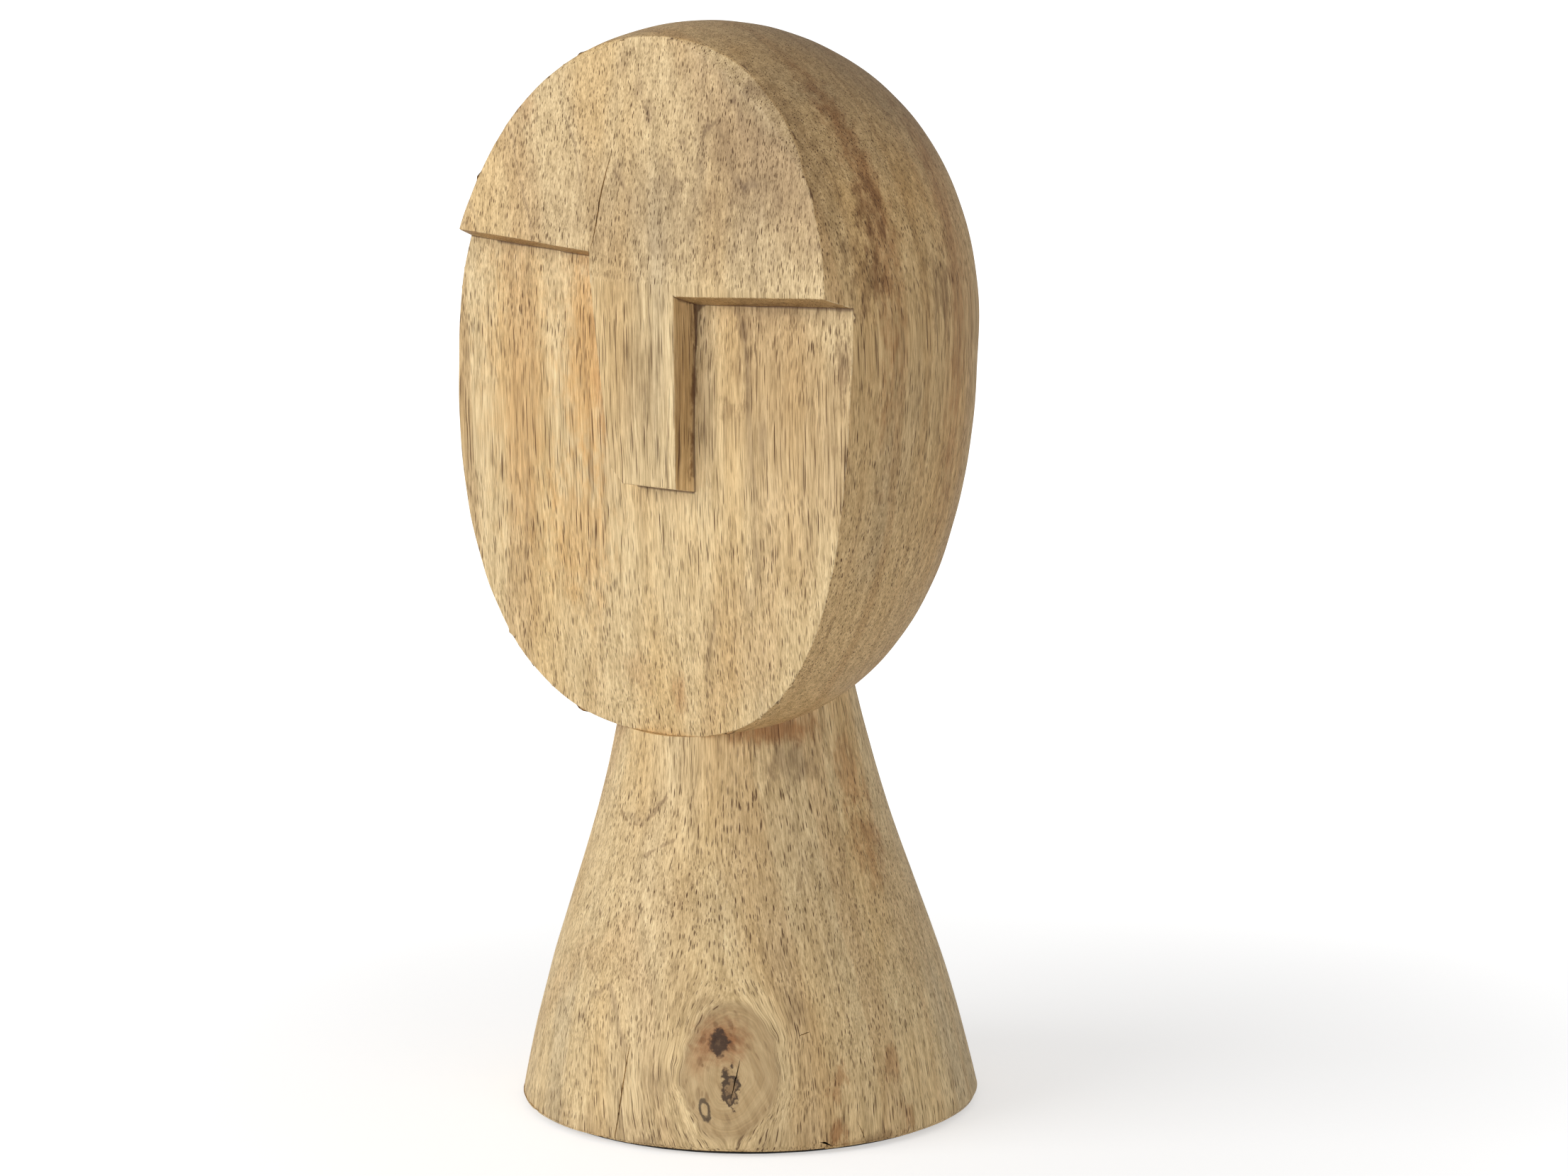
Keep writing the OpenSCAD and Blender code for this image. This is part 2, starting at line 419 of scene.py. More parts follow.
def crack_tool(points, half_width, depth, seed):
    """A thin wedge along a drying crack. Points are places on the surface with their inward direction."""
    bm = bmesh.new()
    rows = []
    count = len(points)
    for index, (place, inward) in enumerate(points):
        share = math.sin(math.pi * (index + 0.5) / count) ** 0.6
        onward = points[min(index + 1, count - 1)][0] - points[max(index - 1, 0)][0]
        across = inward.cross(onward).normalized()
        wander = 0.18 * MM * noise.noise(Vector((index * 0.6, seed, 0)))
        middle = place + across * wander
        width = half_width * (0.2 + 0.8 * share)
        mouth = middle - inward * 1.5 * MM
        rows.append([
            bm.verts.new(mouth + across * width * 1.5),
            bm.verts.new(mouth - across * width * 1.5),
            bm.verts.new(middle + inward * depth * (0.25 + 0.75 * share)),
        ])
    for row, after in zip(rows, rows[1:]):
        for side in range(3):
            other = (side + 1) % 3
            bm.faces.new((row[side], row[other], after[other], after[side]))
    bm.faces.new(rows[0])
    bm.faces.new(rows[-1])
    bmesh.ops.recalc_face_normals(bm, faces=bm.faces)
    return mesh_object("crack_tool", bm)


def chip_tool(place, size, seed):
    """An uneven pebble that breaks a chip out of an edge."""
    bm = bmesh.new()
    bmesh.ops.create_icosphere(bm, subdivisions=3, radius=1)
    for vert in bm.verts:
        vert.co *= 1 + 0.35 * noise.noise(vert.co * 1.7 + Vector((seed, seed, seed)))
    bmesh.ops.scale(bm, vec=Vector(size) * MM, verts=bm.verts)
    bmesh.ops.translate(bm, vec=Vector(place) * MM, verts=bm.verts)
    return mesh_object("chip_tool", bm)


def bore_tool(base):
    """The dowel's bore."""
    bm = bmesh.new()
    low = DOWEL_LOW.z - base.bore_gap
    high = DOWEL_HIGH.z + base.bore_gap
    bmesh.ops.create_cone(
        bm, cap_ends=True, segments=48, radius1=base.bore, radius2=base.bore, depth=high - low
    )
    bmesh.ops.translate(bm, vec=(0, 0, (low + high) / 2), verts=bm.verts)
    return mesh_object("bore_tool", bm)


# Places where the forehead's rim is rubbed to a narrow facet: x, height, width of the facet in millimetres
RUBBED_FACETS = ((31, 291, 2.6), (45, 282, 3.4), (55, 268, 2.4), (-30, 288, 2.0))
# Chips out of the head's edges: place and size in millimetres
HEAD_CHIPS = (
    ((47.2, -46.4, 281.6), (1.7, 1.5, 1.2)),
    ((50.4, -46.7, 277.3), (1.2, 1.3, 1.6)),
    ((33.0, -51.5, 228.7), (10.5, 2.1, 1.0)),
    ((52.0, -51.3, 229.6), (5.0, 1.7, 0.7)),
    ((-62.6, -49.7, 242.3), (1.5, 1.3, 1.0)),
    ((-38.0, -50.3, 239.9), (6.0, 1.6, 0.6)),
    ((15.2, -53.6, 177.6), (1.6, 1.7, 1.3)),
    ((62.6, -42.4, 152.5), (1.0, 1.4, 2.2)),
)


def forehead_crack(sizes):
    """The drying crack that rises from the left brow's inner corner: its places and inward directions."""
    low = Vector((-13.9 * MM, 0, 239.2 * MM))
    high = Vector((-8.5 * MM, 0, 266.0 * MM))
    inward = -front_normal(sizes.forehead_lean)
    points = []
    for step in range(19):
        place = low.lerp(high, step / 18)
        place.x += 0.25 * MM * math.sin(step * 0.42)
        rise = (place.z - sizes.brow_ridge) * math.tan(sizes.forehead_lean)
        place.y = rise - sizes.forward - sizes.brow_forward
        points.append((place, inward))
    return points


def carve_head(sizes, nose):
    """The head's outside, carved and rubbed, without its bore."""
    bm = egg(sizes)
    ridge = Vector((0, -sizes.forward - sizes.brow_forward, sizes.brow_ridge))
    front = front_normal(sizes.forehead_lean)
    cut_away(bm, ridge, front, 0.25 * MM)
    cut_away(bm, ridge, front_normal(-sizes.nose_lean), 0.25 * MM)
    for x, height, width in RUBBED_FACETS:
        out = Vector((x * MM, 0, height * MM - sizes.widest)).normalized()
        direction = (front + out * 0.42).normalized()
        rim = egg_rim(bm, out, front, ridge)
        cut_away(bm, rim - out * width * MM * 0.8, direction)
    head = mesh_object("head_block", bm)
    carve(head, cheek_tool(sizes, nose))
    bm = opened(head)
    bmesh.ops.remove_doubles(bm, verts=bm.verts, dist=0.25 * MM)
    bmesh.ops.dissolve_degenerate(bm, edges=bm.edges, dist=0.02 * MM)
    bm.normal_update()
    sharp = [edge for edge in bm.edges if is_sharp(edge)]
    convex = [edge for edge in sharp if edge.calc_face_angle_signed(0) > 0]
    ease_edges(bm, convex, sizes.edge, 3)
    slice_flats(bm, lambda face: face.calc_area() > (2.6 * MM) ** 2 or len(face.verts) > 8, FLAT_SPACING)
    bmesh.ops.remove_doubles(bm, verts=bm.verts, dist=0.03 * MM)
    round_ridge(bm, sizes, 14 * MM)
    roughen(bm, *HEAD_HAND)
    note_edges(bm)
    bm.to_mesh(head.data)
    bm.free()
    for index, (place, size) in enumerate(HEAD_CHIPS):
        carve(head, chip_tool(place, size, index * 3.7))
    carve(head, crack_tool(forehead_crack(sizes), 0.24 * MM, 3.2 * MM, 2))
    return head


def round_ridge(bm, sizes, reach):
    """Rounds the shallow ridge between forehead and nose over a reach to either side."""
    turn = math.tan(sizes.forehead_lean) - math.tan(sizes.nose_lean)
    ridge = -sizes.forward - sizes.brow_forward
    for vert in bm.verts:
        off = abs(vert.co.z - sizes.brow_ridge) / reach
        if off < 1 and abs(vert.co.y - ridge) < 2.5 * MM:
            vert.co.y += reach * turn / 4 * (1 - off) ** 2


def egg_rim(bm, out, front, ridge):
    """The furthest point of the front's rim in a direction."""
    rim = [vert.co for vert in bm.verts if abs((vert.co - ridge).dot(front)) < 0.3 * MM]
    return max(rim, key=lambda place: place.dot(out)).copy()


# ---------------------------------------------------------------- neck, base and felt


def turned_radius(base, height):
    """Radius of the turned outline at a height."""
    share = height / base.run
    wave = base.swell * math.sin(2 * math.pi * share) / (2 * math.pi)
    return base.neck_radius + (base.base_radius - base.neck_radius) * (1 - share + wave)


def turned_lean(base):
    """The rotation that leans the turned axis."""
    axis = Vector((-math.sin(base.lean_direction), math.cos(base.lean_direction), 0))
    return Matrix.Rotation(base.lean, 3, axis)


def turn_neck(base, top):
    """The turned body, leaned and cut flat at its foot."""
    bm = bmesh.new()
    low = -8 * MM
    rows = 84
    outline = [bm.verts.new((0, 0, low))]
    for row in range(rows + 1):
        height = low + (top - low) * row / rows
        outline.append(bm.verts.new((turned_radius(base, height), 0, height)))
    outline.append(bm.verts.new((0, 0, top)))
    edges = [bm.edges.new(pair) for pair in zip(outline, outline[1:])]
    bmesh.ops.spin(
        bm, geom=outline + edges, cent=(0, 0, 0), axis=(0, 0, 1), angle=2 * math.pi, steps=240,
        use_merge=True, use_duplicate=False,
    )
    bmesh.ops.remove_doubles(bm, verts=bm.verts, dist=0.01 * MM)
    bmesh.ops.recalc_face_normals(bm, faces=bm.faces)
    bmesh.ops.rotate(bm, cent=(0, 0, 0), matrix=turned_lean(base), verts=bm.verts)
    cut_away(bm, (0, 0, base.foot), (0, 0, -1), 0.3 * MM)
    return bm


def base_point(base, turn, height):
    """A place on the turned surface and its inward direction."""
    around = math.radians(turn)
    radius = turned_radius(base, height)
    out = Vector((math.cos(around), math.sin(around), 0))
    return turned_lean(base) @ (out * radius + Vector((0, 0, height))), -out


def base_crack(base, low, high, steps):
    """A crack's places between two (turn in degrees, height in millimetres) pairs."""
    points = []
    for step in range(steps):
        share = step / (steps - 1)
        turn = low[0] + (high[0] - low[0]) * share
        height = low[1] + (high[1] - low[1]) * share
        points.append(base_point(base, turn, height * MM))
    return points


# Cracks in the base: ends as (turn in degrees, height in millimetres), half width and depth in millimetres
BASE_CRACKS = (
    ((-85.2, 0.6), (-83.3, 28.5), 0.24, 3.5),
    ((-54.6, 15.5), (-52.0, 26.0), 0.20, 2.5),
    ((-36.0, 31.2), (-32.6, 32.0), 0.30, 1.3),
    ((-20.5, 0.8), (-22.5, 7.5), 0.16, 1.5),
)
# Chips out of the foot's edge: place and size in millimetres
BASE_CHIPS = (
    ((15.6, -63.9, 1.2), (3.2, 1.5, 1.0)),
    ((28.0, -59.0, 0.9), (4.5, 2.0, 0.7)),
    ((61.5, -20.5, 1.0), (2.0, 3.4, 1.1)),
    ((64.6, -8.2, 3.0), (1.3, 1.5, 1.8)),
    ((-31.0, -56.4, 1.0), (3.0, 1.6, 0.7)),
)


def neck_and_base(base, sizes):
    """The neck and base, coped to the egg."""
    bm = turn_neck(base, 0.15)
    foot = [edge for edge in bm.edges if is_sharp(edge) and max(v.co.z for v in edge.verts) < base.foot + MM]
    ease_edges(bm, foot, base.foot_ease * 0.5, 3)
    for vert in bm.verts:
        away = math.hypot(vert.co.x, vert.co.y)
        limit = base.base_radius - base.foot_ease * 0.8 + (vert.co.z - base.foot) * 0.5
        if away > limit:
            vert.co.xy = vert.co.xy * (limit / away)
    roughen(bm, *BASE_HAND)
    for vert in bm.verts:
        vert.co.z = max(vert.co.z, base.foot)
    body = mesh_object("neck_block", bm)
    cope = egg(sizes)
    roughen(cope, *HEAD_HAND)
    carve(body, mesh_object("cope_tool", cope))
    for index, (low, high, half_width, depth) in enumerate(BASE_CRACKS):
        crack = base_crack(base, low, high, 16)
        carve(body, crack_tool(crack, half_width * MM, depth * MM, index * 5 + 1))
    for index, (place, size) in enumerate(BASE_CHIPS):
        carve(body, chip_tool(place, size, index * 2.9 + 1))
    return body


# ---------------------------------------------------------------- shader tools


class Nodes:
    """Short calls that lay out shader nodes in one tree."""

    def __init__(self, tree):
        self.tree = tree

    def add(self, kind, inputs=None, **settings):
        """Adds a node. Inputs are values, or outputs to link from."""
        node = self.tree.nodes.new(kind)
        for name, value in settings.items():
            setattr(node, name, value)
        for name, value in (inputs or {}).items():
            self.feed(node.inputs[name], value)
        return node

    def feed(self, socket, value):
        """Sets a socket, or links to it."""
        if isinstance(value, bpy.types.NodeSocket):
            self.tree.links.new(value, socket)
        elif socket.type == "RGBA" and len(value) == 3:
            socket.default_value = (*value, 1)
        else:
            socket.default_value = value

    def number(self, operation, *values, clamp=False):
        """A Math node's output."""
        node = self.add("ShaderNodeMath", dict(enumerate(values)), operation=operation, use_clamp=clamp)
        return node.outputs[0]

    def vector(self, operation, *values):
        """A Vector Math node's output."""
        node = self.add("ShaderNodeVectorMath", operation=operation)
        for place, value in enumerate(values):
            if operation == "SCALE" and place == 1:
                self.feed(node.inputs["Scale"], value)
            else:
                self.feed(node.inputs[place], value)
        return node.outputs["Value" if operation in ("LENGTH", "DOT_PRODUCT", "DISTANCE") else "Vector"]

    def parts(self, vector):
        """X, Y and Z of a vector."""
        return self.add("ShaderNodeSeparateXYZ", {"Vector": vector}).outputs

    def joined(self, x, y, z):
        """A vector of three numbers."""
        return self.add("ShaderNodeCombineXYZ", {"X": x, "Y": y, "Z": z}).outputs[0]

    def ramp(self, value, low, high, low_to=0.0, high_to=1.0):
        """A smooth step from one value to another."""
        node = self.add(
            "ShaderNodeMapRange",
            {"Value": value, "From Min": low, "From Max": high, "To Min": low_to, "To Max": high_to},
            interpolation_type="SMOOTHSTEP",
        )
        return node.outputs["Result"]

    def blend(self, share, first, second, mode="MIX"):
        """Mixes two colours."""
        node = self.add("ShaderNodeMix", data_type="RGBA", blend_type=mode, clamp_result=True)
        self.feed(node.inputs["Factor"], share)
        self.feed(node.inputs[6], first)
        self.feed(node.inputs[7], second)
        return node.outputs[2]

    def noise(self, vector, scale=1.0, detail=2.0, roughness=0.5, distortion=0.0, kind="3D"):
        """A Noise node."""
        node = self.add("ShaderNodeTexNoise", noise_dimensions=kind)
        if kind == "1D":
            self.feed(node.inputs["W"], vector)
        else:
            self.feed(node.inputs["Vector"], vector)
        self.feed(node.inputs["Scale"], scale)
        self.feed(node.inputs["Detail"], detail)
        self.feed(node.inputs["Roughness"], roughness)
        self.feed(node.inputs["Distortion"], distortion)
        return node

    def grey(self, *values, **settings):
        """A Noise node's value."""
        return self.noise(*values, **settings).outputs[0]


def group(name, inputs, outputs):
    """An empty node group with named sockets. Returns its node calls, its inputs and its output node."""
    tree = bpy.data.node_groups.new(name, "ShaderNodeTree")
    for label, kind, value in inputs:
        socket = tree.interface.new_socket(name=label, in_out="INPUT", socket_type="NodeSocket" + kind)
        socket.default_value = value
    for label, kind in outputs:
        tree.interface.new_socket(name=label, in_out="OUTPUT", socket_type="NodeSocket" + kind)
    nodes = Nodes(tree)
    given = nodes.add("NodeGroupInput").outputs
    result = nodes.add("NodeGroupOutput")
    return nodes, given, result


def fibre_group():
    """Space that follows the wood's fibres, in millimetres, with Z along them."""
    n, given, result = group(
        "fibre_space",
        [
            ("Position", "Vector", (0, 0, 0)), ("Tilt", "Vector", (0, 0, 0)), ("Bend", "Float", 0.0),
            ("Bend Start", "Float", 0.0), ("Wander", "Float", 6.0), ("Ripple", "Float", 0.8),
            ("Seed", "Vector", (0, 0, 0)),
        ],
        [("Fibre", "Vector")],
    )
    place = n.vector("SCALE", given["Position"], 1000.0)
    x, y, z = n.parts(place)
    tilt_x, tilt_y, _ = n.parts(given["Tilt"])
    over = n.number("MAXIMUM", n.number("SUBTRACT", z, given["Bend Start"]), 0.0)
    bend = n.number("MULTIPLY", n.number("MULTIPLY", over, over), given["Bend"])
    straight = n.joined(
        n.number("SUBTRACT", x, n.number("MULTIPLY", z, tilt_x)),
        n.number("ADD", n.number("SUBTRACT", y, n.number("MULTIPLY", z, tilt_y)), bend),
        z,
    )
    seeded = n.vector("ADD", place, given["Seed"])
    slow = n.noise(n.vector("MULTIPLY", seeded, (0.017, 0.017, 0.008)), 1.0, 1.0).outputs["Color"]
    quick = n.noise(n.vector("MULTIPLY", seeded, (0.09, 0.09, 0.035)), 1.0, 1.0).outputs["Color"]
    half = (0.5, 0.5, 0.5)
    slow = n.vector("SCALE", n.vector("SUBTRACT", slow, half), given["Wander"])
    quick = n.vector("SCALE", n.vector("SUBTRACT", quick, half), given["Ripple"])
    warp = n.vector("MULTIPLY", n.vector("ADD", slow, quick), (1, 1, 0))
    n.feed(result.inputs["Fibre"], n.vector("ADD", straight, warp))
    return n.tree


def pore_group():
    """Open vessels: spindles along the fibres, which a cut shows as lines, dashes or dots."""
    n, given, result = group(
        "open_pores",
        [
            ("Fibre", "Vector", (0, 0, 0)), ("Gap", "Float", 0.75), ("Run", "Float", 30.0),
            ("Thin", "Float", 0.12), ("Thick", "Float", 0.32), ("Share", "Float", 0.6),
        ],
        [("Mask", "Float"), ("Tone", "Float")],
    )
    size = n.joined(given["Gap"], given["Gap"], given["Run"])
    cells = n.add("ShaderNodeTexVoronoi", voronoi_dimensions="3D", feature="F1")
    n.feed(cells.inputs["Vector"], n.vector("DIVIDE", given["Fibre"], size))
    n.feed(cells.inputs["Scale"], 1.0)
    lot = n.parts(cells.outputs["Color"])
    spread = n.number("SUBTRACT", given["Thick"], given["Thin"])
    radius = n.number("ADD", given["Thin"], n.number("MULTIPLY", spread, lot[0]))
    inner = n.number("MULTIPLY", radius, 0.50)
    body = n.ramp(cells.outputs["Distance"], radius, inner)
    shown = n.number("LESS_THAN", lot[1], given["Share"])
    n.feed(result.inputs["Mask"], n.number("MULTIPLY", body, shown))
    n.feed(result.inputs["Tone"], lot[2])
    return n.tree


def band_group():
    """Growth bands round a heart that may lie outside the piece: broad tones, fine ones and thin lines."""
    n, given, result = group(
        "growth_bands",
        [("Fibre", "Vector", (0, 0, 0)), ("Heart", "Vector", (0, 0, 0)), ("Spacing", "Float", 7.0)],
        [("Wide", "Float"), ("Fine", "Float"), ("Line", "Float")],
    )
    flat = n.vector("MULTIPLY", n.vector("SUBTRACT", given["Fibre"], given["Heart"]), (1, 1, 0))
    away = n.vector("LENGTH", flat)
    sway = n.grey(n.vector("MULTIPLY", given["Fibre"], (0.05, 0.05, 0.014)), 1.0, 3.0, 0.55)
    away = n.number("ADD", away, n.number("MULTIPLY", sway, 9.0))
    turns = n.number("DIVIDE", away, given["Spacing"])
    n.feed(result.inputs["Wide"], n.grey(turns, 1.0, 1.0, kind="1D"))
    n.feed(result.inputs["Fine"], n.grey(turns, 5.0, 2.0, kind="1D"))
    off = n.number("ABSOLUTE", n.number("SUBTRACT", n.number("FRACT", turns), 0.5))
    patchy = n.grey(n.vector("MULTIPLY", given["Fibre"], (0.06, 0.06, 0.02)), 1.0, 2.0)
    shown = n.ramp(patchy, 0.47, 0.62)
    n.feed(result.inputs["Line"], n.number("MULTIPLY", n.ramp(off, 0.045, 0.0), shown))
    return n.tree


def spot_group():
    """A soft-edged stain with an uneven outline."""
    n, given, result = group(
        "stain_spot",
        [
            ("Place", "Vector", (0, 0, 0)), ("Centre", "Vector", (0, 0, 0)),
            ("Size", "Vector", (10, 10, 10)),
            ("Unevenness", "Float", 0.5), ("Fray", "Float", 0.5), ("Core", "Float", 0.3),
        ],
        [("Mask", "Float")],
    )
    off = n.vector("DIVIDE", n.vector("SUBTRACT", given["Place"], given["Centre"]), given["Size"])
    fray = n.number("MULTIPLY", n.number("SUBTRACT", given["Unevenness"], 0.5), given["Fray"])
    away = n.number("ADD", n.vector("LENGTH", off), n.number("MULTIPLY", fray, 2.0))
    n.feed(result.inputs["Mask"], n.ramp(away, 1.0, given["Core"]))
    return n.tree


def line_group():
    """A thin wavering line between two places, such as a contour of the figure."""
    n, given, result = group(
        "figure_line",
        [
            ("Place", "Vector", (0, 0, 0)), ("From", "Vector", (0, 0, 0)), ("To", "Vector", (0, 0, 1)),
            ("Half Width", "Float", 0.5), ("Unevenness", "Float", 0.5), ("Waver", "Float", 1.0),
        ],
        [("Mask", "Float")],
    )
    whole = n.vector("SUBTRACT", given["To"], given["From"])
    off = n.vector("SUBTRACT", given["Place"], given["From"])
    passed = n.vector("DOT_PRODUCT", off, whole)
    share = n.number("DIVIDE", passed, n.vector("DOT_PRODUCT", whole, whole), clamp=True)
    away = n.vector("LENGTH", n.vector("SUBTRACT", off, n.vector("SCALE", whole, share)))
    waver = n.number("MULTIPLY", n.number("SUBTRACT", given["Unevenness"], 0.5), given["Waver"])
    body = n.ramp(n.number("ADD", away, waver), given["Half Width"], 0.0)
    broken = n.ramp(given["Unevenness"], 0.62, 0.50, 0.25, 1.0)
    n.feed(result.inputs["Mask"], n.number("MULTIPLY", body, broken))
    return n.tree


def edge_and_crease_group():
    """Worn edges, broken up by chance: pale rubbed places and dark dirty ones; and dark concave creases,
    which are dirt and painted shade.
    """
    n, given, result = group(
        "edge_wear_and_crease_shade",
        [("Place", "Vector", (0, 0, 0)), ("Edge", "Float", 0.0), ("Groove", "Float", 0.0)],
        [("Rubbed", "Float"), ("Dirty", "Float"), ("Crease Dirt And Shade", "Float")],
    )
    breaks = n.grey(given["Place"], 0.45, 3.0)
    edge = n.ramp(given["Edge"], 0.55, 1.0)
    n.feed(result.inputs["Rubbed"], n.number("MULTIPLY", edge, n.ramp(breaks, 0.42, 0.60, 0.0, 0.55)))
    n.feed(result.inputs["Dirty"], n.number("MULTIPLY", edge, n.ramp(breaks, 0.50, 0.36, 0.0, 0.45)))
    # The concave creases darken: dirt and painted shade
    n.feed(result.inputs["Crease Dirt And Shade"], n.ramp(given["Groove"], 0.45, 1.0, 0.0, 0.8))
    return n.tree


# Layers of open vessels: gap, run, thinnest, thickest, share shown, faintest and darkest
PORE_LAYERS = (
    (0.84, 60.0, 0.11, 0.28, 0.88, 0.55, 1.00),
    (0.56, 28.0, 0.16, 0.40, 0.88, 0.55, 1.00),
    (0.37, 15.0, 0.17, 0.38, 0.72, 0.30, 0.85),
)


def grain_group(bands, pores):
    """The open-grained wood before its stains: tones, growth bands, fibres and open vessels."""
    n, given, result = group(
        "open_grained_wood",
        [
            ("Fibre", "Vector", (0, 0, 0)), ("Heart", "Vector", (0, 0, 0)), ("Seed", "Vector", (0, 0, 0)),
            ("Pale", "Color", (0.8, 0.6, 0.4, 1)), ("Honey", "Color", (0.8, 0.6, 0.4, 1)),
            ("Ash", "Color", (0.8, 0.6, 0.4, 1)), ("Rust", "Color", (0.8, 0.6, 0.4, 1)),
            ("Umber", "Color", (0.8, 0.6, 0.4, 1)), ("Pore", "Color", (0.1, 0.1, 0.1, 1)),
        ],
        [("Color", "Color"), ("Height", "Float"), ("Pores", "Float")],
    )
    fibre = given["Fibre"]
    rings = placed(n, bands, Fibre=fibre, Heart=given["Heart"], Spacing=10.0)
    along = n.vector("ADD", fibre, given["Seed"])
    broad = n.grey(n.vector("MULTIPLY", along, (0.045, 0.045, 0.007)), 1.0, 2.0)
    streak = n.grey(n.vector("MULTIPLY", along, (0.60, 0.60, 0.014)), 1.0, 3.0, 0.6)
    hair = n.grey(n.vector("MULTIPLY", along, (2.9, 2.9, 0.085)), 1.0, 3.0, 0.65)
    colour = n.blend(n.ramp(broad, 0.50, 0.72, 0, 0.45), given["Pale"], given["Honey"])
    colour = n.blend(n.ramp(broad, 0.46, 0.28, 0, 0.45), colour, given["Ash"])
    dark = n.ramp(rings["Wide"], 0.50, 0.66)
    colour = n.blend(n.number("MULTIPLY", dark, 0.22), colour, given["Rust"])
    colour = n.blend(n.number("MULTIPLY", rings["Line"], 0.40), colour, given["Umber"])
    shade = n.number("ADD", n.ramp(streak, 0.3, 0.7, 0.88, 1.17), n.ramp(hair, 0.25, 0.75, -0.33, 0.25))
    shade = n.number("MULTIPLY", shade, n.ramp(rings["Fine"], 0.3, 0.7, 0.94, 1.03))
    warm = n.joined(shade, n.number("POWER", shade, 1.12), n.number("POWER", shade, 1.35))
    colour = n.blend(1.0, colour, warm, "MULTIPLY")
    crowd = n.number("ADD", n.ramp(streak, 0.35, 0.65, 0.16, -0.16), n.number("MULTIPLY", dark, 0.30))
    open_pores = 0.0
    for gap, run, thin, thick, share, faint, full in PORE_LAYERS:
        seeded = n.vector("ADD", fibre, n.vector("SCALE", given["Seed"], gap))
        crowded = n.number("ADD", crowd, share)
        layer = placed(n, pores, Fibre=seeded, Gap=gap, Run=run, Thin=thin, Thick=thick, Share=crowded)
        strength = n.number("MULTIPLY", layer["Mask"], n.ramp(layer["Tone"], 0, 1, faint, full))
        open_pores = n.number("MAXIMUM", open_pores, strength)
    n.feed(result.inputs["Color"], n.blend(open_pores, colour, given["Pore"]))
    n.feed(result.inputs["Height"], n.number("SUBTRACT", n.number("MULTIPLY", hair, 0.3), open_pores))
    n.feed(result.inputs["Pores"], open_pores)
    return n.tree


def placed(n, tree, **inputs):
    """A node group placed in a material, with its values. Spaces in socket names are written as _."""
    node = n.add("ShaderNodeGroup", node_tree=tree)
    for name, value in inputs.items():
        n.feed(node.inputs[name.replace("_", " ")], value)
    return node.outputs


def new_material(name, roughness):
    """A material with one plain shader."""
    material = bpy.data.materials.new(name)
    material.use_nodes = True
    n = Nodes(material.node_tree)
    shader = material.node_tree.nodes["Principled BSDF"]
    shader.inputs["Roughness"].default_value = roughness
    return material, n, shader


def groups():
    """The node groups that the woods share."""
    return {
        "fibre": fibre_group(), "grain": grain_group(band_group(), pore_group()), "spot": spot_group(),
        "wear_and_shade": edge_and_crease_group(), "line": line_group(),
    }


def wood(n, shared, tones, fibre, heart, seed):
    """The open-grained wood placed in a material: its colour, its height and its pores."""
    out = placed(
        n, shared["grain"], Fibre=fibre, Heart=heart, Seed=seed, Pale=tones.pale, Honey=tones.honey,
        Ash=tones.ash, Rust=tones.rust, Umber=tones.umber, Pore=tones.pore_and_crease_shade,
    )
    return out["Color"], out["Height"], out["Pores"]


def stained_and_shaded(n, shared, tones, place, uneven, colour, stains, lines):
    """Lays stains, painted shadows and painted shade, and the figure's thin lines, over a colour. The tables
    below say what each row holds.
    """
    for centre, size, name, strength, fray in stains:
        mask = placed(
            n, shared["spot"], Place=place, Centre=centre, Size=size, Unevenness=uneven, Fray=fray, Core=0.15
        )["Mask"]
        colour = n.blend(n.number("MULTIPLY", mask, strength), colour, getattr(tones, name), "MULTIPLY")
    for low, high, half_width, name, strength in lines:
        mask = placed(
            n, shared["line"], Place=place, From=low, To=high, Half_Width=half_width, Unevenness=uneven,
            Waver=4.0,
        )["Mask"]
        colour = n.blend(n.number("MULTIPLY", mask, strength), colour, getattr(tones, name), "MULTIPLY")
    return colour


def rubbed(n, shared, tones, place, colour):
    """Pale rubbed edges, and dark concave creases that are dirt and painted shade."""
    worn = n.add("ShaderNodeAttribute", attribute_name="worn").outputs["Fac"]
    deep = n.add("ShaderNodeAttribute", attribute_name="deep").outputs["Fac"]
    wear_and_shade = placed(n, shared["wear_and_shade"], Place=place, Edge=worn, Groove=deep)
    colour = n.blend(wear_and_shade["Rubbed"], colour, tones.worn)
    colour = n.blend(wear_and_shade["Dirty"], colour, tones.umber)
    # Dirt and painted shade in the concave creases, in the vessels' colour
    return n.blend(wear_and_shade["Crease Dirt And Shade"], colour, tones.pore_and_crease_shade)


def wood_place(n):
    """Object coordinates, the same in millimetres, and the unevenness that frays the stains."""
    place = n.add("ShaderNodeTexCoord").outputs["Object"]
    sized = n.vector("SCALE", place, 1000.0)
    uneven = n.grey(n.vector("MULTIPLY", sized, (0.35, 0.35, 0.16)), 1.0, 4.0, 0.6)
    return place, sized, uneven


def finish_wood(n, shader, colour, height, pores):
    """Feeds the wood into its shader: satin between the open vessels."""
    n.feed(shader.inputs["Base Color"], colour)
    n.feed(shader.inputs["Roughness"], n.number("ADD", n.number("MULTIPLY", pores, 0.3), 0.50))
    shader.inputs["Specular IOR Level"].default_value = 0.35
    bump = n.add("ShaderNodeBump", {"Height": height, "Strength": 0.55, "Distance": 0.22 * MM})
    n.feed(shader.inputs["Normal"], bump.outputs[0])
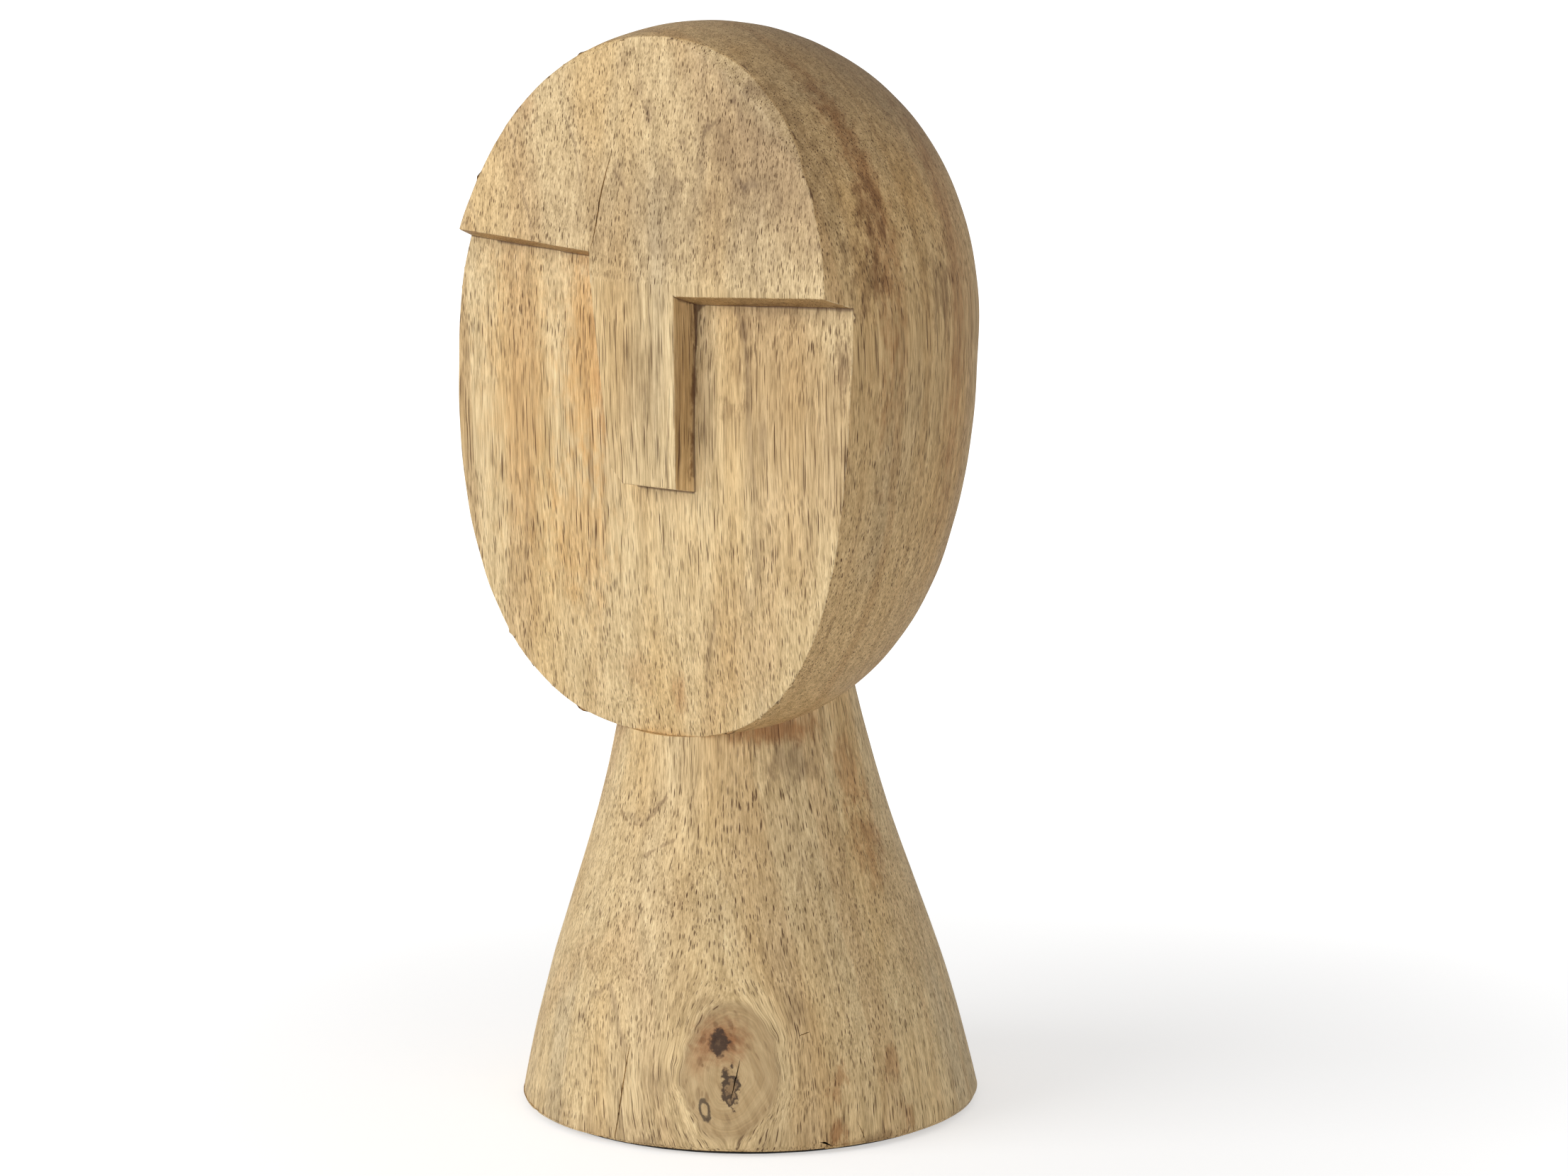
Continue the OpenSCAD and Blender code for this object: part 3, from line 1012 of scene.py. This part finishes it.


# Stains of the head, and painted shadows marked below: centre and size in millimetres, tone, strength, fray
HEAD_STAINS_AND_SHADOWS = (
    ((-22, -41, 210), (13, 12, 44), "amber", 0.70, 0.6),
    ((-17, -42, 222), (5, 8, 13), "rust", 0.22, 1.4),
    ((-16, -42, 200), (5, 8, 16), "rust", 0.20, 1.4),
    ((-26, -41, 160), (16, 12, 30), "amber", 0.40, 0.8),
    ((-48, -41, 200), (18, 12, 60), "amber", 0.30, 0.9),
    ((-5.5, -43, 289), (3.5, 6, 5), "umber", 0.30, 1.2),
    ((-0.6, -44, 282.3), (3.5, 6, 5), "umber", 0.30, 1.2),
    ((4.2, -45, 276), (3.5, 6, 5), "umber", 0.28, 1.2),
    ((-6, -46.5, 260), (4, 5, 4.5), "umber", 0.26, 1.2),
    ((-0.3, -47, 253.4), (4, 5, 4.5), "umber", 0.26, 1.2),
    ((44, -45, 262), (38, 12, 48), "violet", 0.46, 0.5),
    ((2, -48, 247), (56, 10, 26), "violet", 0.26, 0.6),
    ((2, -52, 204), (17, 8, 40), "violet", 0.26, 0.5),
    # Painted shadow of the nose on the cheek beside its +X wall
    ((20, -42, 203), (5, 6, 36), "violet", 0.30, 0.4),
    # Painted shadows under the +X brow, and in the next row under the -X brow
    ((45, -42, 227), (34, 6, 5), "violet", 0.22, 0.4),
    ((-38, -42, 239), (30, 6, 3.5), "violet", 0.20, 0.4),
    ((-70, -40, 195), (6, 14, 60), "ash", 0.45, 0.4),
    ((6, -35, 119), (4, 10, 9), "rust", 0.45, 0.9),
    ((-9, -36, 124), (8, 9, 9), "rust", 0.22, 1.0),
    ((2, -54, 200), (17, 7, 38), "ash", 0.62, 0.4),
    ((38, 8, 300), (62, 80, 66), "violet", 0.46, 0.3),
    ((16, -55, 179), (5, 5, 4), "umber", 0.35, 1.0),
    ((34, -42, 220), (7, 6, 4), "umber", 0.28, 1.8),
    ((29, -41, 199), (5, 6, 5), "umber", 0.34, 2.0),
    ((32, -42, 209), (6, 6, 8), "umber", 0.16, 1.6),
    ((67, -42, 213), (3, 6, 13), "umber", 0.45, 1.8),
    ((66, -40, 190), (3, 6, 12), "umber", 0.25, 1.8),
    ((46, -41, 208), (30, 10, 34), "ash", 0.40, 0.6),
    ((40, -45.5, 283), (6, 5, 4), "umber", 0.30, 1.0),
    ((9, -49, 241), (6, 5, 4), "umber", 0.22, 1.2),
    ((14, -47.5, 259), (10, 5, 6), "umber", 0.15, 1.2),
    ((-40, -46, 279), (5, 6, 15), "rust", 0.30, 0.8),
    ((0, -46, 262), (60, 7, 40), "ash", 0.20, 0.3),
    ((16.5, -45, 203), (5, 5.5, 42), "olive", 0.42, 0.5),
    ((68, -36, 236), (9, 8, 12), "umber", 0.48, 2.2),
    ((66, -30, 252), (9, 6, 10), "umber", 0.34, 2.2),
    ((72, -6, 230), (8, 8, 12), "umber", 0.40, 2.2),
    ((58, -29, 245), (34, 8, 78), "rust", 0.56, 0.8),
    ((62, 4, 235), (34, 8, 86), "rust", 0.48, 0.9),
    ((66, -14, 240), (24, 5, 72), "ash", 0.36, 0.8),
    ((-60, -10, 235), (34, 9, 80), "rust", 0.40, 0.9),
    ((-62, 30, 230), (30, 9, 80), "rust", 0.34, 0.9),
    ((10, 60, 240), (9, 30, 84), "rust", 0.38, 0.9),
    ((-24, 58, 232), (7, 30, 76), "ash", 0.36, 0.8),
    ((40, 48, 226), (8, 26, 80), "ash", 0.34, 0.8),
)
# Thin lines of the head, and one painted shadow line marked below: ends in millimetres, half width, tone,
# strength
HEAD_LINES_AND_SHADOW_LINE = (
    ((-13.8, -50.3, 237), (-12.6, -50.9, 218), 0.9, "umber", 0.85),
    ((-12.6, -50.9, 218), (-8.7, -52.3, 184), 0.9, "umber", 0.75),
    # Painted shadow line on the cheek along the foot of the nose's +X wall
    ((17.6, -42.6, 229), (15.6, -42.6, 178), 1.1, "umber", 0.70),
    ((-8, -47, 292), (7, -45, 271), 0.8, "umber", 0.45),
    ((7, -45, 271), (20, -46, 268), 0.8, "umber", 0.40),
    ((20, -46, 268), (34, -45, 281), 0.8, "umber", 0.35),
    ((7, -45, 271), (14, -47, 262), 0.8, "umber", 0.25),
    ((-30, -48, 262), (-20, -47, 250), 0.7, "umber", 0.30),
    ((-9, -46.6, 263), (6, -48, 245), 0.8, "umber", 0.40),
    ((-42, -45, 276), (-32, -43.5, 289), 1.8, "rust", 0.50),
)
# Stains of the neck and base, and painted shade marked below: centre and size in millimetres, tone, strength,
# fray
BASE_STAINS_AND_SHADE = (
    # The next row is partly the orange rust stain at the top of the neck and partly painted shade under the
    # head; the violet row after it is painted shade under the head
    ((28, -20, 110), (22, 20, 5.5), "rust", 0.74, 0.8),
    ((28, -18, 101), (12, 12, 8), "violet", 0.48, 1.3),
    ((36, 0, 100), (9, 9, 20), "rust", 0.46, 0.9),
    ((42, 2, 79), (10, 10, 18), "rust", 0.46, 0.9),
    ((-20, -28, 108), (18, 14, 5), "umber", 0.16, 1.2),
    ((-48, 20, 60), (10, 20, 50), "rust", 0.22, 0.9),
    ((0, 54, 40), (26, 12, 50), "umber", 0.18, 1.0),
    ((37.4, -24, 70), (1.2, 2, 7), "umber", 0.40, 0.8),
    ((38, -34, 52), (6, 6, 13), "umber", 0.22, 1.2),
    ((44, -33, 38), (5, 5, 7), "umber", 0.28, 1.2),
    ((18, -58, 18), (9, 7, 7), "violet", 0.22, 1.0),
    ((53.5, -27, 17), (2.5, 4, 9), "rust", 0.50, 1.6),
    ((56, -30, 5), (3, 4, 5), "rust", 0.65, 1.6),
    ((58.5, -10, 21), (2.5, 4, 9), "rust", 0.40, 1.6),
    ((63, -8, 6), (2, 4, 7), "rust", 0.45, 1.6),
    ((15, -62, 2.5), (7, 5, 3), "umber", 0.45, 1.4),
    ((61, -20, 2), (8, 9, 3), "umber", 0.50, 1.2),
    ((25, -49, 40), (4, 4, 3), "umber", 0.30, 1.8),
    ((-4, -41, 86), (14, 10, 18), "umber", 0.07, 1.2),
    ((14, -42, 62), (16, 12, 16), "umber", 0.14, 1.6),
    ((30, -24, 84), (14, 14, 18), "umber", 0.12, 1.4),
    ((22, -50, 42), (16, 10, 12), "umber", 0.12, 1.6),
    ((40, -20, 60), (12, 16, 40), "violet", 0.14, 0.6),
    ((48, 10, 70), (16, 30, 60), "rust", 0.14, 0.7),
    # The last two rows darken the base towards its foot, along the front and on the +X side
    ((4, -62, 2), (54, 14, 9), "umber", 0.26, 1.2),
    ((48, -42, 4), (30, 22, 12), "umber", 0.18, 1.2),
)
# Thin lines of the neck and base: ends in millimetres, half width, tone, strength
BASE_LINES = (
    ((-12.6, -39.8, 85.5), (-8, -41.5, 83), 0.7, "umber", 0.50),
    ((-8, -41.5, 83), (-3.2, -42, 83.4), 0.7, "umber", 0.50),
    ((-3.2, -42, 83.4), (3.6, -39.5, 91.6), 0.7, "umber", 0.50),
    ((-8.3, -43.5, 76.8), (-1, -44.5, 75.5), 0.6, "umber", 0.45),
    ((-1, -44.5, 75.5), (8.1, -41.7, 80.8), 0.6, "umber", 0.45),
    ((8.3, -46.5, 66), (13, -46, 63.7), 0.7, "umber", 0.45),
    ((13, -46, 63.7), (16.8, -41.7, 72.3), 0.7, "umber", 0.45),
    ((-19, -49.2, 49.5), (-5.8, -55.3, 38.9), 0.7, "umber", 0.30),
    ((-5.8, -55.3, 38.9), (0.6, -58.2, 28.8), 0.7, "umber", 0.30),
)


def head_wood(shared, tones):
    """Wood of the head."""
    material, n, shader = new_material("head_mango", 0.5)
    place, sized, uneven = wood_place(n)
    fibre = placed(
        n, shared["fibre"], Position=place, Tilt=(0.01, 0.0, 0.0), Bend=0.00062, Bend_Start=168.0,
        Wander=4.0, Ripple=0.6, Seed=(0, 0, 0),
    )["Fibre"]
    colour, height, pores = wood(n, shared, tones, fibre, (78.0, 165.0, 0.0), (13.0, 7.0, 3.0))
    _, facing, rising = n.parts(n.add("ShaderNodeNewGeometry").outputs["True Normal"])
    # Darker and warmer where the surface does not face the front: partly the egg's own outer surface, partly
    # painted shade that darkens the crown
    outside = n.ramp(facing, -0.85, -0.6)
    height_up = n.parts(place)[2]
    # Painted shade: the downward-facing undersides of the brows and the nose's tip are darkened below
    under = n.number("MULTIPLY", n.ramp(rising, -0.80, -0.92), n.ramp(height_up, 0.168, 0.172))
    colour = n.blend(n.number("MULTIPLY", outside, 0.70), colour, (0.84, 0.73, 0.60), "MULTIPLY")
    colour = n.blend(n.number("MULTIPLY", under, 0.75), colour, (0.62, 0.55, 0.44), "MULTIPLY")
    colour = stained_and_shaded(n, shared, tones, sized, uneven, colour, HEAD_STAINS_AND_SHADOWS, HEAD_LINES_AND_SHADOW_LINE)
    colour = rubbed(n, shared, tones, sized, colour)
    finish_wood(n, shader, colour, height, pores)
    return material


class Knot:
    """The branch knot in the base's front: sizes in millimetres."""

    centre = (34.6, -50.4, 21.8)
    across = (0.843, 0.538, 0.0)
    outward = (0.538, -0.843, 0.0)
    half_width = 12.5
    half_height = 16.5
    # How deep the knot goes, where its pattern is sent below that, and where the bent grain straightens
    root = -30.0
    beyond = 500.0
    bent_depth = (-55.0, -15.0)


def knot_space(n, place):
    """Across and up from the knot's middle, how far out in shares of its outline, and how far outwards."""
    off = n.vector("SUBTRACT", place, Knot.centre)
    across = n.vector("DOT_PRODUCT", off, Knot.across)
    up = n.parts(off)[2]
    sway = n.parts(n.noise(place, 0.09, 2.0).outputs["Color"])
    shares = []
    for way, moved, half in ((across, sway[0], Knot.half_width), (up, sway[1], Knot.half_height)):
        swayed = n.number("ADD", way, n.number("MULTIPLY", n.number("SUBTRACT", moved, 0.5), 5.0))
        shares.append(n.number("DIVIDE", swayed, half))
    out = n.vector("LENGTH", n.joined(*shares, 0.0))
    return across, up, out, n.vector("DOT_PRODUCT", off, Knot.outward)


def dark_spot(n, across, up, middle, size, tilt, fray, share=0.9):
    """How far a point is from a small dark spot's middle, in shares of its size."""
    x = n.number("SUBTRACT", across, middle[0])
    y = n.number("SUBTRACT", up, middle[1])
    cos, sin = math.cos(tilt), math.sin(tilt)
    turned_x = n.number("ADD", n.number("MULTIPLY", x, cos), n.number("MULTIPLY", y, sin))
    turned_y = n.number("SUBTRACT", n.number("MULTIPLY", y, cos), n.number("MULTIPLY", x, sin))
    flat = n.joined(n.number("DIVIDE", turned_x, size[0]), n.number("DIVIDE", turned_y, size[1]), 0.0)
    frayed = n.number("MULTIPLY", n.number("SUBTRACT", fray, 0.5), share)
    return n.number("ADD", n.vector("LENGTH", flat), frayed)


def knot_colour(n, tones, place, colour, across, up, out):
    """The knot's rings, its reddish halo and its dark hearts."""
    fray = n.grey(place, 0.55, 3.0, 0.6)
    inside = n.ramp(out, 1.12, 0.92)
    rings = n.grey(n.number("MULTIPLY", out, 7.0), 1.0, 2.0, 0.6, kind="1D")
    grain = n.grey(n.number("MULTIPLY", out, 38.0), 1.0, 1.0, kind="1D")
    body = n.blend(n.ramp(rings, 0.3, 0.7), (0.62, 0.44, 0.23), (0.47, 0.30, 0.14))
    shade = n.ramp(grain, 0.25, 0.75, 0.88, 1.05)
    body = n.blend(1.0, body, n.joined(shade, shade, shade), "MULTIPLY")
    colour = n.blend(n.number("MULTIPLY", inside, 0.68), colour, body)
    border = n.number("ABSOLUTE", n.number("SUBTRACT", out, 1.02))
    colour = n.blend(n.ramp(border, 0.12, 0.0, 0.0, 0.22), colour, tones.umber)
    halo = dark_spot(n, across, up, (-2.4, 8.6), (9.5, 7.5), 0.0, fray)
    colour = n.blend(n.ramp(halo, 1.15, 0.10, 0.0, 0.85), colour, (0.60, 0.33, 0.22), "MULTIPLY")
    left = dark_spot(n, across, up, (-8.5, 3.0), (4.0, 6.0), 0.0, fray)
    colour = n.blend(n.ramp(left, 1.15, 0.10, 0.0, 0.45), colour, (0.66, 0.42, 0.30), "MULTIPLY")
    upper = dark_spot(n, across, up, (-2.9, 7.8), (2.5, 3.2), 0.15, fray, 1.9)
    colour = n.blend(n.ramp(upper, 1.25, 0.75, 0.0, 0.88), colour, tones.knot)
    colour = n.blend(n.ramp(upper, 0.50, 0.15, 0.0, 0.45), colour, tones.umber)
    lower = dark_spot(n, across, up, (0.5, -3.6), (2.3, 4.3), 0.1, fray, 2.2)
    rim = n.number("ABSOLUTE", n.number("SUBTRACT", lower, 0.80))
    colour = n.blend(n.ramp(lower, 1.30, 0.85, 0.0, 0.72), colour, tones.umber)
    colour = n.blend(n.ramp(rim, 0.38, 0.08, 0.0, 0.80), colour, tones.knot)
    small = dark_spot(n, across, up, (-6.3, -9.6), (1.3, 2.8), 0.25, fray)
    rim = n.number("ABSOLUTE", n.number("SUBTRACT", small, 0.9))
    colour = n.blend(n.ramp(rim, 0.40, 0.10, 0.0, 0.80), colour, tones.knot)
    return colour, inside


def base_wood(shared, tones):
    """Wood of the neck and base, whose grain flows round the knot."""
    material, n, shader = new_material("base_mango", 0.5)
    place, sized, uneven = wood_place(n)
    across, up, out, outward = knot_space(n, sized)
    near = n.number("DIVIDE", across, n.number("MAXIMUM", n.number("MULTIPLY", out, out), 1.0))
    near = n.number("MULTIPLY", near, n.ramp(outward, *Knot.bent_depth))
    behind = n.number("MULTIPLY", n.number("LESS_THAN", outward, Knot.root), Knot.beyond)
    across = n.number("ADD", across, behind)
    out = n.number("ADD", out, behind)
    shift = n.vector("SCALE", n.vector("SCALE", Knot.across, n.number("MULTIPLY", near, -0.85)), MM)
    flowing = n.vector("ADD", place, shift)
    fibre = placed(
        n, shared["fibre"], Position=flowing, Tilt=(-0.13, 0.09, 0.0), Bend=0.0, Bend_Start=0.0,
        Wander=9.0, Ripple=1.0, Seed=(31, 12, 5),
    )["Fibre"]
    colour, height, pores = wood(n, shared, tones, fibre, (25.0, 110.0, 0.0), (3.0, 17.0, 31.0))
    colour, inside = knot_colour(n, tones, sized, colour, across, up, out)
    height = n.number("MULTIPLY", height, n.ramp(inside, 0.0, 1.0, 1.0, 0.3))
    colour = stained_and_shaded(n, shared, tones, sized, uneven, colour, BASE_STAINS_AND_SHADE, BASE_LINES)
    finish_wood(n, shader, colour, height, pores)
    return material


def dowel_wood(tones):
    """Beech of the dowel, with its short flecks."""
    material, n, shader = new_material("dowel_beech", 0.6)
    place = n.vector("SCALE", n.add("ShaderNodeTexCoord").outputs["Object"], 1000.0)
    fleck = n.grey(n.vector("MULTIPLY", place, (2.5, 2.5, 0.5)), 1.0, 2.0)
    long = n.grey(n.vector("MULTIPLY", place, (0.8, 0.8, 0.03)), 1.0, 3.0)
    colour = n.blend(n.ramp(fleck, 0.55, 0.7, 0.0, 0.5), tones.dowel, tones.rust)
    shade = n.ramp(long, 0.2, 0.8, 0.85, 1.08)
    colour = n.blend(1.0, colour, n.joined(shade, shade, shade), "MULTIPLY")
    n.feed(shader.inputs["Base Color"], colour)
    bump = n.add("ShaderNodeBump", {"Height": long, "Strength": 0.4, "Distance": 0.1 * MM})
    n.feed(shader.inputs["Normal"], bump.outputs[0])
    return material


def felt_cloth(tones):
    """Pressed felt."""
    material, n, shader = new_material("felt_cloth", 0.95)
    place = n.vector("SCALE", n.add("ShaderNodeTexCoord").outputs["Object"], 1000.0)
    hairs = n.grey(place, 2.5, 5.0, 0.75, distortion=1.5)
    shade = n.ramp(hairs, 0.3, 0.7, 0.55, 1.5)
    n.feed(shader.inputs["Base Color"], n.blend(1.0, tones.felt, n.joined(shade, shade, shade), "MULTIPLY"))
    shader.inputs["Sheen Weight"].default_value = 0.3
    bump = n.add("ShaderNodeBump", {"Height": hairs, "Strength": 0.8, "Distance": 0.3 * MM})
    n.feed(shader.inputs["Normal"], bump.outputs[0])
    return material


# ---------------------------------------------------------------- operators


class CarvedHeadOperator:
    """What the pieces' operators share."""

    bl_options = {"REGISTER", "UNDO"}


class CARVEDHEAD_OT_woods(CarvedHeadOperator, bpy.types.Operator):
    """Make the materials of the woods and the felt"""

    bl_idname = "carved_head.woods"
    bl_label = "Woods and felt"

    def execute(self, context):
        tones = context.scene.carved_tones
        shared = groups()
        head_wood(shared, tones)
        base_wood(shared, tones)
        dowel_wood(tones)
        felt_cloth(tones)
        return {"FINISHED"}


def bored(piece, base):
    """Bores a carved piece for the dowel and returns it as a bmesh."""
    carve(piece, bore_tool(base))
    bm = opened(piece)
    bpy.data.objects.remove(piece)
    return bm


class CARVEDHEAD_OT_head(CarvedHeadOperator, bpy.types.Operator):
    """Carve the head with its brows and nose"""

    bl_idname = "carved_head.head"
    bl_label = "Head"

    def execute(self, context):
        scene = context.scene
        bm = bored(carve_head(scene.carved_head, scene.carved_nose), scene.carved_base)
        finish_piece(bm, "carved_head", bpy.data.materials["head_mango"], "head")
        return {"FINISHED"}


class CARVEDHEAD_OT_neck(CarvedHeadOperator, bpy.types.Operator):
    """Turn the neck and base, and cope them to the head"""

    bl_idname = "carved_head.neck"
    bl_label = "Neck and base"

    def execute(self, context):
        scene = context.scene
        bm = bored(neck_and_base(scene.carved_base, scene.carved_head), scene.carved_base)
        finish_piece(bm, "turned_neck_and_base", bpy.data.materials["base_mango"], "neck_base")
        return {"FINISHED"}


class CARVEDHEAD_OT_felt(CarvedHeadOperator, bpy.types.Operator):
    """Cut the felt disc"""

    bl_idname = "carved_head.felt"
    bl_label = "Felt"

    def execute(self, context):
        bm = bmesh.new()
        thick = FELT_HIGH.z - FELT_LOW.z
        radius = (FELT_HIGH.x - FELT_LOW.x) / 2
        bmesh.ops.create_cone(bm, cap_ends=True, segments=180, radius1=radius, radius2=radius, depth=thick)
        bmesh.ops.translate(bm, vec=(0, 0, thick / 2), verts=bm.verts)
        rim = [edge for edge in bm.edges if is_sharp(edge)]
        ease_edges(bm, rim, thick * 0.3, 3)
        for vert in bm.verts:
            ragged = 0.35 * MM * (0.5 + 0.5 * noise.noise(vert.co / (4 * MM)))
            away = vert.co.xy.length
            vert.co.xy = vert.co.xy * (1 - ragged / away)
        finish_piece(bm, "felt_underside", bpy.data.materials["felt_cloth"], "felt_disc")
        return {"FINISHED"}


class CARVEDHEAD_OT_dowel(CarvedHeadOperator, bpy.types.Operator):
    """Give the dowel its beech"""

    bl_idname = "carved_head.dowel"
    bl_label = "Dowel"

    def execute(self, context):
        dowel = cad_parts["neck_dowel"]
        dowel.data.materials.clear()
        dowel.data.materials.append(bpy.data.materials["dowel_beech"])
        return {"FINISHED"}


def area_light(name, place, target, size, power):
    """A large soft light that looks at a point."""
    lamp = bpy.data.lights.new(name, "AREA")
    lamp.shape = "RECTANGLE"
    lamp.size, lamp.size_y = size
    lamp.energy = power
    light = bpy.data.objects.new(name, lamp)
    light.location = place
    light.rotation_euler = (Vector(target) - Vector(place)).to_track_quat("-Z", "Y").to_euler()
    bpy.context.scene.collection.objects.link(light)


def studio_floor():
    """A wide round sheet of pale paper, which glows to the camera more and more around the object. The weaker
    glow near the object is painted shade round the base, and a faint glow to every other ray is a painted
    bounce light on the object.
    """
    bm = bmesh.new()
    bmesh.ops.create_circle(bm, cap_ends=True, segments=96, radius=30)
    floor = mesh_object("studio_floor", bm)
    material, n, shader = new_material("studio_paper", 0.9)
    shader.inputs["Base Color"].default_value = (0.8, 0.8, 0.8, 1)
    shader.inputs["Specular IOR Level"].default_value = 0.0
    shader.inputs["Emission Color"].default_value = (1, 1, 1, 1)
    direct = n.add("ShaderNodeLightPath").outputs["Is Camera Ray"]
    away = n.vector("LENGTH", n.add("ShaderNodeTexCoord").outputs["Object"])
    # Painted shade: the glow that the camera sees is weaker near the object
    glow = n.number("MULTIPLY", direct, n.ramp(away, 0.10, 0.60, 0.50, 1.0))
    # A faint glow to every other ray: painted bounce light on the object
    n.feed(shader.inputs["Emission Strength"], n.number("MAXIMUM", glow, 0.05))
    floor.data.materials.append(material)


def studio_room(surround):
    """A white room, which lights the object by its surround brightness only."""
    world = bpy.data.worlds.new("studio_room")
    bpy.context.scene.world = world
    world.use_nodes = True
    world.node_tree.nodes.clear()
    n = Nodes(world.node_tree)
    seen = n.add("ShaderNodeLightPath").outputs["Is Camera Ray"]
    strength = n.number("MAXIMUM", seen, surround)
    paper = n.add("ShaderNodeBackground", {"Color": (1, 1, 1, 1), "Strength": strength})
    n.feed(n.add("ShaderNodeOutputWorld").inputs["Surface"], paper.outputs[0])


def studio_camera(studio):
    """The camera, which looks at the aim from its azimuth and height angle."""
    data = bpy.data.cameras.new("camera")
    data.lens = studio.lens
    data.sensor_width = 36
    data.clip_start = 0.05
    data.clip_end = 100
    camera = bpy.data.objects.new("camera", data)
    level = math.cos(studio.height_angle)
    back = Vector((
        math.sin(studio.azimuth) * level, -math.cos(studio.azimuth) * level, math.sin(studio.height_angle),
    ))
    camera.location = Vector(studio.aim) + back * studio.distance
    camera.rotation_euler = back.to_track_quat("Z", "Y").to_euler()
    bpy.context.scene.collection.objects.link(camera)
    bpy.context.scene.camera = camera


class CARVEDHEAD_OT_studio(CarvedHeadOperator, bpy.types.Operator):
    """Set up the floor, the light and the camera"""

    bl_idname = "carved_head.studio"
    bl_label = "Studio"

    def execute(self, context):
        scene = context.scene
        studio = scene.carved_studio
        studio_floor()
        studio_room(studio.surround)
        middle = (0, 0, 0.16)
        area_light("key_light", (-0.70, -1.40, 0.70), middle, (1.4, 1.1), studio.key)
        area_light("fill_light", (1.6, -0.5, 0.12), middle, (0.9, 0.9), studio.fill)
        studio_camera(studio)
        scene.view_settings.view_transform = "Standard"
        return {"FINISHED"}


class CARVEDHEAD_PT_panel(bpy.types.Panel):
    """Builds the carved head piece by piece."""

    bl_label = "Carved head"
    bl_space_type = "VIEW_3D"
    bl_region_type = "UI"
    bl_category = "Carved head"

    def draw(self, context):
        for step in OPERATORS:
            self.layout.operator(step.bl_idname)
        for name in SETTINGS:
            group_of = getattr(context.scene, name)
            box = self.layout.box()
            for key in group_of.bl_rna.properties.keys():
                if key not in ("rna_type", "name"):
                    box.prop(group_of, key)


OPERATORS = (
    CARVEDHEAD_OT_woods, CARVEDHEAD_OT_head, CARVEDHEAD_OT_neck, CARVEDHEAD_OT_felt, CARVEDHEAD_OT_dowel,
    CARVEDHEAD_OT_studio,
)
SETTINGS = {
    "carved_head": HeadSizes, "carved_nose": NoseSizes, "carved_base": BaseSizes, "carved_tones": WoodTones,
    "carved_studio": StudioSettings,
}


def register():
    """Registers the settings, the operators and the panel."""
    for name, settings in SETTINGS.items():
        bpy.utils.register_class(settings)
        setattr(bpy.types.Scene, name, PointerProperty(type=settings))
    for step in (*OPERATORS, CARVEDHEAD_PT_panel):
        bpy.utils.register_class(step)


def unregister():
    """Takes them out again."""
    for step in (CARVEDHEAD_PT_panel, *reversed(OPERATORS)):
        bpy.utils.unregister_class(step)
    for name, settings in reversed(SETTINGS.items()):
        delattr(bpy.types.Scene, name)
        bpy.utils.unregister_class(settings)


def main():
    """Builds everything in order."""
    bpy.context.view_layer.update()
    register()
    bpy.ops.carved_head.woods()
    bpy.ops.carved_head.head()
    bpy.ops.carved_head.neck()
    bpy.ops.carved_head.felt()
    bpy.ops.carved_head.dowel()
    bpy.ops.carved_head.studio()


if __name__ == "__main__":
    main()
